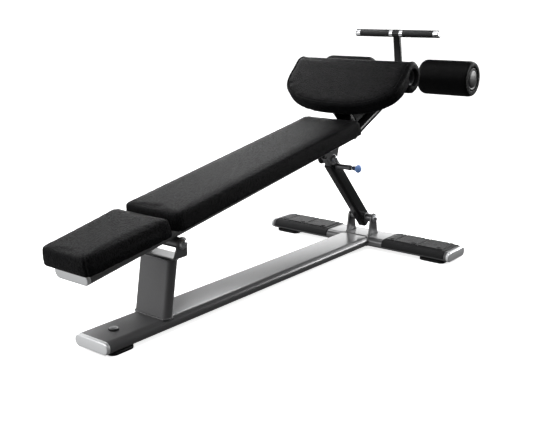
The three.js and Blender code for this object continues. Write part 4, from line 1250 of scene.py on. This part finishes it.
@dataclass
class LongPad:
    """A tapered flat pad: soft foam in a stapled cover, on a plywood board bolted to the tube."""

    label: str
    start: float
    end: float
    low_half: float
    high_half: float
    high_slant: float
    low_slant: float
    bottom: float = 0.0558
    top: float = 0.1155
    board: float = 0.012
    inset: float = 0.016
    corner: float = 0.020

    def outline(self, inset: float, lift: float = 0.0) -> np.ndarray:
        """The plan of the pad: a trapezium with round corners.

        Its two ends lean in by their slants times the height part `lift`, and an inset shrinks it all round.
        """
        x0 = self.start + inset + self.low_slant * lift
        x1 = self.end - inset - self.high_slant * lift
        w0, w1 = self.low_half - inset, self.high_half - inset
        radius = max(self.corner - inset * 0.4, 0.006)
        plan = [(x1, -w1), (x1, w1), (x0, w0), (x0, -w0)]
        return spread(soften(plan, radius * 1.3, closed=True, steps=8), 260)

    def foam(self) -> Grid:
        """Rings from the underside to the top: sides that lean in by 3 mm, then a rim of 10 mm radius."""
        turn = np.linspace(0.0, np.pi / 2, 7)
        rim = 0.010
        tall = self.top - self.bottom - 0.0020
        height = np.r_[0.0, 0.0030, tall * 0.5, tall - rim + rim * np.sin(turn)]
        inset = np.r_[0.0040, 0.0012, 0.0010, 0.0028 + rim * (1 - np.cos(turn))]
        rings = []
        for h, i in zip(height, inset):
            flat = self.outline(i, h / tall)
            rings.append(np.column_stack([flat, np.full(len(flat), self.bottom + h)]))
        return np.array(rings)

    def seams(self, mesh: bpy.types.Mesh, at: Place) -> None:
        """Presses the cover's corner seams and the pleats beside them.

        With s the distance from a corner's upright plane, the seam sinks 2.4 mm exp(-(s/2.2 mm)^2) and two
        pleats rise 1.1 mm exp(-((|s| - 6 mm)/3 mm)^2), all fading out over the top's rim.
        """
        local = unput(at, points_of(mesh))
        depth = np.zeros(len(local))
        tall = self.top - self.bottom
        part = np.clip((local[:, 2] - self.bottom) / tall, 0.0, 1.0)
        fade = np.clip((1.02 - part) / 0.22, 0.0, 1.0) * np.clip((part + 0.02) / 0.05, 0.0, 1.0)
        for end, half, slant, sign in ((self.start, self.low_half, self.low_slant, 1.0),
                                       (self.end, self.high_half, -self.high_slant, -1.0)):
            for side in (-1.0, 1.0):
                x = local[:, 0] - (end + slant * part)
                y = side * (side * local[:, 1] - half + 0.003 * part)
                s = (sign * x + side * y) / math.sqrt(2)
                near = np.hypot(x, y) < 0.040
                fold, swell = s / 0.0022, (np.abs(s) - 0.006) / 0.003
                wave = 0.0024 * np.exp(-(fold**2)) - 0.0011 * np.exp(-(swell**2))
                depth += np.where(near, wave * fade, 0.0)
        pressed(mesh, depth)

    def staples(self, at: Place) -> Shape:
        """Wire staples that hold the cover's hem under the board, one every 34 mm."""
        hem = np.column_stack([self.outline(self.inset + 0.006), np.full(260, self.bottom - 0.0002)])
        line = fine(hem, STAPLE_STEP)
        ahead = np.roll(line, -1, 0) - line
        ahead /= np.linalg.norm(ahead, axis=1, keepdims=True)
        shape = Shape()
        bar = soften([(-0.005, 0.0004), (0.005, 0.0004), (0.005, -0.0006), (-0.005, -0.0006)], 0.0003,
                     closed=True, steps=2)
        for spot, way in zip(line, ahead):
            across = np.array([-way[1], way[0], 0.0])
            rings = [spot + bar[:, :1] * way + bar[:, 1:] * np.array([0, 0, 1.0]) + w * across
                     for w in (-0.0005, 0.0005)]
            shape.add(np.array(rings), at)
        return shape

    def build(self, at: Place) -> None:
        """Cushion, board and staples."""
        form = Shape().add(self.foam(), at)
        keep = self.bottom + 0.008
        mesh = inflated(f"{self.label}_cover", form, PAD_VOXEL, 4.0, 0.0022,
                        lambda p: unput(at, p)[:, 2] < keep)
        self.seams(mesh, at)
        cover = piece(f"{self.label}_cover", mesh, VINYL, "bench", f"{self.label}_cushion", sharp=80.0)
        flat = polygon(self.outline(self.inset - 0.0045))
        rim = rounded(self.bottom - 0.0001, self.bottom + self.board, 0.0012, 2)
        board = Shape().add(prism(flat, rim, Along.Z), at)
        piece(f"{self.label}_plywood", board.mesh("plywood"), PLYWOOD, "bench", f"{self.label}_board")
        piece(f"{self.label}_staples", self.staples(at).mesh("staples"), STEEL, "bench")


@dataclass
class ThighPad:
    """The thigh pad: a D-shaped face that rolls over at its upper edge round a hollow shell."""

    along: float = 1.106
    above: float = 0.237
    slope: float = 35.2
    radius: float = 0.060
    hollow: float = 0.024
    under: float = 0.002
    half: float = 0.257
    lower: float = 0.202
    shoulder: float = 0.060
    roundness: float = 2.4
    curl: float = -168.0

    def plan(self, inset: float, reach: float) -> np.ndarray:
        """The D outline: |y/half|^n + t^n = 1 below the shoulder, with t the part of the way down to the edge.

        Above the shoulder its sides run straight to x = reach.
        """
        turn = np.linspace(0.0, np.pi, 161)
        n = 2.0 / self.roundness
        y = (self.half - inset) * np.sign(np.cos(turn)) * np.abs(np.cos(turn)) ** n
        x = -self.shoulder - (self.lower - self.shoulder - inset) * np.sin(turn) ** n
        line = np.vstack([np.stack([x, y], 1), [(reach, -(self.half - inset)), (reach, self.half - inset)]])
        return spread(line, 420)

    def form(self) -> Shape:
        """A D-shaped slab and the roll's ring, which the remesh makes one body."""
        turn = np.linspace(0.0, np.pi / 2, 7)
        rim, top = 0.013, self.radius - 0.0015
        shape = Shape()
        for under, reach in ((self.under, -0.026), (0.034, 0.004)):
            slab = []
            for z, inset in zip(np.r_[under, under + 0.003, top - rim + rim * np.sin(turn)],
                                np.r_[0.0045, 0.0015, 0.0015 + rim * (1 - np.cos(turn))]):
                flat = self.plan(inset, reach)
                slab.append(np.column_stack([flat, np.full(len(flat), z)]))
            shape.add(np.array(slab), self.at)
        ring = []
        inner, outer = self.hollow + 0.0049, self.radius - 0.0015
        for y, inset in rounded(-self.half + 0.0015, self.half - 0.0015, rim, 6):
            trim = inset / 0.045
            arc = np.linspace(math.radians(150.0), math.radians(self.curl) + 0.06 + trim, 72)
            out = (outer - inset) * np.stack([np.cos(arc), np.sin(arc)], 1)
            back = (inner + 0.3 * inset) * np.stack([np.cos(arc[::-1]), np.sin(arc[::-1])], 1)
            flat = spread(soften(np.vstack([out, back]), 0.006, True, 3), 300)
            ring.append(np.stack([flat[:, 0], np.full(300, y), flat[:, 1]], 1))
        return shape.add(np.array(ring), self.at)

    def border(self, local: np.ndarray) -> np.ndarray:
        """Distance of points from the D outline, taken as F / |grad F| of its formula, or from its sides."""
        n, span = self.roundness, self.lower - self.shoulder
        t = np.clip((-local[:, 0] - self.shoulder) / span, 0.0, None)
        v = np.abs(local[:, 1]) / self.half
        value = 1.0 - v**n - t**n
        slope = np.hypot(n * v ** (n - 1) / self.half, n * t ** (n - 1) / span)
        return np.where(t > 0, value / np.maximum(slope, 1e-6), self.half - np.abs(local[:, 1]))

    def piping(self, cover: bpy.types.Object, inset: float) -> np.ndarray:
        """A path round the face's border and over the roll's ends, laid on the cover's surface."""
        arc = np.radians(np.linspace(-128.0, 90.0, 60))
        curl = 0.062 * np.stack([np.cos(arc), np.zeros(60), np.sin(arc)], 1)
        side = np.array([0.0, self.half - inset, 0.0])
        turn = np.linspace(0.0, np.pi, 181)
        n = 2.0 / self.roundness
        y = (self.half - inset) * np.sign(np.cos(turn)) * np.abs(np.cos(turn)) ** n
        x = -self.shoulder - (self.lower - self.shoulder - inset) * np.sin(turn) ** n
        face = np.stack([x, y, np.full(181, self.radius + 0.003)], 1)
        line = fine(np.vstack([curl + side, face, curl[::-1] - side]), 0.002, closed=False)
        world = self.at.put(line)
        return np.array([tuple(cover.closest_point_on_mesh(Vector(p))[1]) for p in world])

    def shell(self) -> Shape:
        """The backing shell: a flat strip under the pad and a ring inside its roll, 4 mm thick."""
        shape = Shape()
        a = np.linspace(0.0, 2 * np.pi, 48, endpoint=False)
        u, t = (np.sign(f(a)) * np.abs(f(a)) ** (2 / 16) for f in (np.cos, np.sin))
        x = np.linspace(-0.1770, -0.0180, 60)
        part = np.clip((-x - self.shoulder) / (self.lower - self.shoulder - 0.016), 0.0, 1.0)
        wide = (self.half - 0.016) * (1 - part**self.roundness) ** (1 / self.roundness)
        flat = np.stack([x[:, None] + 0 * u, wide[:, None] * u, 0.0027 + 0.0020 * t + 0 * wide[:, None]], -1)
        shape.add(flat, self.at)
        arc = np.radians(np.linspace(176.0, self.curl + 7.0, 70))[:, None]
        r = 0.0260 + 0.0020 * t
        ring = np.stack([r * np.cos(arc), (self.half - 0.014) * u + 0 * arc, r * np.sin(arc)], -1)
        return shape.add(ring, self.at)

    def build(self, bench: BenchFrame) -> None:
        """Cover, piping, shell and bracket."""
        self.at = bench.at.child(self.along, self.above, self.slope)
        inner = self.hollow + 0.008

        def held(points: np.ndarray) -> np.ndarray:
            """Which points the shell and the board keep from swelling."""
            local = unput(self.at, points)
            ring = np.hypot(local[:, 0], local[:, 2]) < inner
            return ring | ((local[:, 2] < self.under + 0.002) & (local[:, 0] < -0.02))

        mesh = inflated("thigh_cover", self.form(), PAD_VOXEL, 3.0, 0.0020, held)
        local = unput(self.at, points_of(mesh))
        outer = (np.hypot(local[:, 0], local[:, 2]) > 0.050) | (local[:, 0] < 0)
        front = np.where(local[:, 0] < 0, np.clip((local[:, 2] - 0.044) / 0.01, 0, 1), outer)
        d = self.border(local)
        pressed(mesh, 0.0016 * front * np.exp(-(((d - 0.0165) / 0.0032) ** 2)))
        cover = piece("thigh_cover", mesh, VINYL, "bench", "thigh_pad_cushion", sharp=80.0)
        cord = Shape().add(bead(self.piping(cover, 0.0125), 0.0021, closed=False, pitch=0.0, count=10))
        piece("thigh_piping", cord.mesh("thigh_piping"), VINYL, "bench", sharp=80.0)
        piece("thigh_shell", self.shell().mesh("thigh_shell"), PALE_GRAPHITE, "bench", "thigh_pad_shell",
              sharp=50.0)
        # The bracket takes the darkened graphite: painted shade under the thigh pad.
        refined("thigh_pad_bracket", DARK_PAINT_AND_SHADE, "bench")


# ---------------------------------------------------------------------------- rollers and handle
@dataclass
class Rollers:
    """The foot rollers: an axle through the support tube, and foam rollers with domed end caps."""

    radius: float = 0.069
    cap_radius: float = 0.043
    axle: float = 0.0125

    def build(self) -> None:
        """Axle and both rollers."""
        low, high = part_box("roller_axle")
        at = centre("roller_axle")
        bar = soften([(0.0, low.y), (self.axle, low.y), (self.axle, high.y), (0.0, high.y)], 0.001)
        shape = Shape().add(turned(bar, count=40), at)
        turn = np.linspace(0.0, 2 * np.pi, 80, endpoint=False)
        for sign in (-1.0, 1.0):
            path = np.stack([0.0132 * np.cos(turn), np.full(80, sign * 0.0704), 0.0132 * np.sin(turn)], 1)
            shape.add(bead(path, 0.0022), at, loop=True)
        piece("axle_bar", shape.mesh("axle_bar"), PALE_GRAPHITE, "bench", "roller_axle")
        for side, sign in SIDES:
            low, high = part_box(f"roller_foam_{side}")
            inner, outer = sorted((abs(low.y), abs(high.y)))
            flip = np.array([1.0, sign, 1.0])
            sizes = np.array([[0.002], [0.024], [0.022], [0.004], [0.002], [0.002]])
            line = [(0.0173, inner), (self.radius, inner), (self.radius, outer),
                    (self.cap_radius + 0.004, outer), (self.cap_radius + 0.0015, outer - 0.008),
                    (0.0173, outer - 0.008)]
            foam = Shape().add(turned(soften(line, sizes, True, 9), count=80) * flip, at, loop=True)
            roller = piece(f"foam_roller_{side}", foam.mesh("foam_roller"), FOAM, f"roller_{side}",
                           f"roller_foam_{side}")
            r, face = self.cap_radius, outer - 0.0077
            turn = np.linspace(0.0, np.pi / 2, 12)[::-1]
            lens = np.stack([(r - 0.008) * np.sin(turn), face + 0.0035 + 0.0072 * np.cos(turn)], 1)
            rim = soften([(0.0, face), (r, face), (r, face + 0.0045), (r - 0.003, face + 0.0062),
                          (r - 0.0065, face + 0.0045), (r - 0.0078, face + 0.0038)], 0.0012)
            disc = Shape().add(turned(np.vstack([rim, lens]), count=72) * flip, at)
            piece(f"roller_disc_{side}", disc.mesh("roller_disc"), PLASTIC, f"roller_{side}",
                  f"roller_cap_{side}")
            dress(PLASTIC, f"roller_core_{side}")


@dataclass
class Handle:
    """The T-handle: post, hub, chrome bar with collars, grips and end caps."""

    along: float = 1.441
    above: float = 0.326
    collar: float = 0.031
    grip_end: float = 0.168

    def build(self, bench: BenchFrame) -> None:
        """Every piece of the handle."""
        at = centre("handle_bar")
        rise = math.radians(bench.rise)
        foot = bench.lift + (self.along - bench.bend) * math.tan(rise)
        shape = prism(round_rect(0.016, 0.030, 0.003), [(foot, 0.0), (self.above - 0.004, 0.0)], Along.Z)
        shape[..., 0] += self.along
        rim = round_rect(0.016, 0.030, 0.003)(-0.0008)
        land = foot + rim[:, 0] * math.tan(rise) + TUBE.depth / 2 / math.cos(rise) + 0.0008
        path = fine(np.column_stack([rim[:, 0] + self.along, rim[:, 1], land]), 0.0011)
        post = Shape().add(shape, bench.at).add(bead(path, 0.0026), bench.at, loop=True)
        # The handle post and hub take the darkened graphite, here standing for a darker paint.
        piece("handle_stem", post.mesh("handle_stem"), DARK_PAINT_AND_SHADE, "bench", "handle_post")
        ring = soften([(0.0, -0.015), (0.0155, -0.015), (0.0155, 0.015), (0.0, 0.015)], 0.0012)
        piece("hub_sleeve", Shape().add(turned(ring), at).mesh("hub_sleeve"), DARK_PAINT_AND_SHADE, "bench", "handle_hub")
        bar = Shape()
        for side, sign in SIDES:
            flip = np.array([1.0, sign, 1.0])
            collar = soften([(0.0, 0.0), (0.012, 0.0), (0.012, 0.0153), (0.0150, 0.0153),
                             (0.0150, self.collar), (0.012, self.collar), (0.012, 0.175), (0.0, 0.175)],
                            0.0007)
            bar.add(turned(collar) * flip, at)
            y = np.linspace(self.collar + 0.0003, self.grip_end - 0.0003, 420)
            wave = np.sin(2 * np.pi * y / GRIP_RIB)
            rib = 0.0147 + 0.0003 * np.sign(wave) * np.abs(wave) ** 0.4
            line = np.vstack([[0.0118, y[0]], [0.0143, y[0]], np.stack([rib, y], 1), [0.0143, y[-1]],
                              [0.0118, y[-1]]])
            grip = Shape().add(turned(line, count=48) * flip, at, loop=True)
            piece(f"grip_{side}_rubber", grip.mesh("grip"), GRIP, "bench", f"grip_{side}", sharp=60.0)
            end = abs(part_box(f"handle_cap_{side}")[0 if sign < 0 else 1].y)
            cap = soften([(0.0, self.grip_end), (0.0150, self.grip_end), (0.0150, end - 0.002), (0.0110, end),
                          (0.0, end)], 0.0022)
            piece(f"end_cap_{side}", Shape().add(turned(cap) * flip, at).mesh("end_cap"), CHROME, "bench",
                  f"handle_cap_{side}")
        piece("chrome_bar", bar.mesh("chrome_bar"), CHROME, "bench", "handle_bar")


# ---------------------------------------------------------------------------- studio
@dataclass(frozen=True)
class Softbox:
    """An area light that faces a point."""

    name: str
    spot: tuple[float, float, float]
    aim: tuple[float, float, float]
    size: tuple[float, float]
    power: float

    def build(self) -> None:
        """The light, turned so that it shines from its spot to its aim."""
        lamp = bpy.data.lights.new(self.name, "AREA")
        lamp.shape, lamp.size, lamp.size_y, lamp.energy = "RECTANGLE", *self.size, self.power
        made = bpy.data.objects.new(self.name, lamp)
        made.location = self.spot
        made.rotation_euler = (Vector(self.aim) - Vector(self.spot)).to_track_quat("-Z", "Y").to_euler()
        made.visible_camera = False
        bpy.context.scene.collection.objects.link(made)


@dataclass(frozen=True)
class Camera:
    """The camera: its spot, the way it looks and its lens."""

    spot: tuple[float, float, float] = (-2.2119, -1.7205, 0.9559)
    yaw: float = 38.3
    dip: float = 14.22
    lens: float = 55.55

    def build(self) -> None:
        """Makes it the scene's camera, level, with no shift and no depth of field."""
        data = bpy.data.cameras.new("camera")
        data.lens, data.sensor_width, data.clip_end = self.lens, 36.0, 90.0
        made = bpy.data.objects.new("camera", data)
        yaw, dip = math.radians(self.yaw), math.radians(self.dip)
        look = Vector((math.cos(yaw) * math.cos(dip), math.sin(yaw) * math.cos(dip), -math.sin(dip)))
        made.location = self.spot
        made.rotation_euler = look.to_track_quat("-Z", "Y").to_euler()
        bpy.context.scene.collection.objects.link(made)
        bpy.context.scene.camera = made


@dataclass
class Studio:
    """A pale seamless floor, soft lights and a bright surround."""

    surround: float = 0.02
    bounce: float = 0.11
    glow: float = 0.62
    daylight: float = 1.4
    boxes: tuple[Softbox, ...] = (
        Softbox("top_box", (-0.4, 0.5, 3.2), (0.0, 0.0, 0.3), (3.6, 2.2), 30.0),
        Softbox("front_box", (-3.4, 1.6, 1.5), (-0.4, 0.0, 0.3), (2.2, 1.8), 42.0),
        Softbox("back_box", (3.2, 2.7, 0.9), (0.0, 0.0, 0.1), (3.4, 1.1), 44.0),
        Softbox("sheen_box", (0.95, 1.05, 1.40), (0.0, 0.0, 0.42), (0.6, 0.5), 8.0),
        Softbox("rim_box", (2.9, -1.9, 1.1), (0.0, 0.0, 0.1), (1.4, 0.8), 42.0),
        Softbox("left_box", (0.2, 4.2, 1.9), (0.0, 0.0, 0.4), (3.2, 1.8), 60.0),
        Softbox("behind_box", (4.2, -0.4, 1.7), (0.0, 0.0, 0.4), (2.2, 1.6), 60.0),
    )

    def surroundings(self) -> None:
        """White behind the bench for the camera; the bench itself sees a dim room.

        The room's strength along a direction d is surround + bounce (1 - d.z) / 2 + glow max(d.v, 0)^2, where
        v points to a pale wall on the low left.
        """
        world = bpy.data.worlds.new("surround")
        bpy.context.scene.world = world
        world.use_nodes = True
        g = Graph(world.node_tree)
        way = g.node("ShaderNodeTexCoord", out="Generated")
        height = g.node("ShaderNodeSeparateXYZ", {"Vector": way}, out="Z")
        facing = g.node("ShaderNodeVectorMath", {0: way, 1: PALE_WALL}, out="Value", operation="DOT_PRODUCT")
        glow = g.node("ShaderNodeMath", {0: facing, 1: 0.0}, operation="MAXIMUM") ** 2.0
        room = self.surround + self.bounce * 0.5 * (1.0 - height) + self.glow * glow
        seen = g.node("ShaderNodeLightPath", out="Is Camera Ray")
        strength = room + (1.05 - room) * seen
        ground = g.node("ShaderNodeBackground", {"Color": (1.0, 1.0, 1.0, 1.0), "Strength": strength})
        out = g.tree.nodes.new("ShaderNodeOutputWorld")
        g.tree.links.new(ground.socket, out.inputs["Surface"])

    def build(self) -> None:
        """Floor, lights, surround, camera and the picture's tone curve."""
        grid = np.linspace(-30.0, 30.0, 41)
        x, y = np.meshgrid(grid, grid, indexing="ij")
        top = np.stack([x, y, np.zeros_like(x)], -1)
        slab = Shape().add_slab(top, top - np.array([0, 0, 0.02]))
        floor = bpy.data.objects.new("floor", slab.mesh("floor"))
        floor.data.materials.append(FLOOR.material())
        bpy.context.scene.collection.objects.link(floor)
        floor.visible_diffuse = floor.visible_glossy = False
        self.surroundings()
        sky = bpy.data.lights.new("sky", "SUN")
        sky.energy, sky.angle = self.daylight, math.radians(40.0)
        lamp = bpy.data.objects.new("sky", sky)
        lamp.rotation_euler = Vector(SUN_FROM).to_track_quat("Z", "Y").to_euler()
        bpy.context.scene.collection.objects.link(lamp)
        for softbox in self.boxes:
            softbox.build()
        Camera().build()
        bpy.context.scene.view_settings.view_transform = "Standard"
        bpy.context.scene.view_settings.look = "None"


def main() -> None:
    """Builds the bench from the floor up, then the studio."""
    logging.basicConfig(level=logging.INFO, format="%(name)s: %(message)s")
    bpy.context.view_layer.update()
    Base().build()
    StepCovers().build()
    Post().build()
    Strut().build()
    bench = BenchFrame()
    bench.build()
    LongPad("head_pad", -0.371, -0.057, 0.099, 0.120, 0.004, 0.0).build(bench.at)
    LongPad("back_pad", -0.041, 0.948, 0.120, 0.129, 0.010, 0.0).build(bench.at)
    ThighPad().build(bench)
    Rollers().build()
    Handle().build(bench)
    Studio().build()


if __name__ == "__main__":
    main()
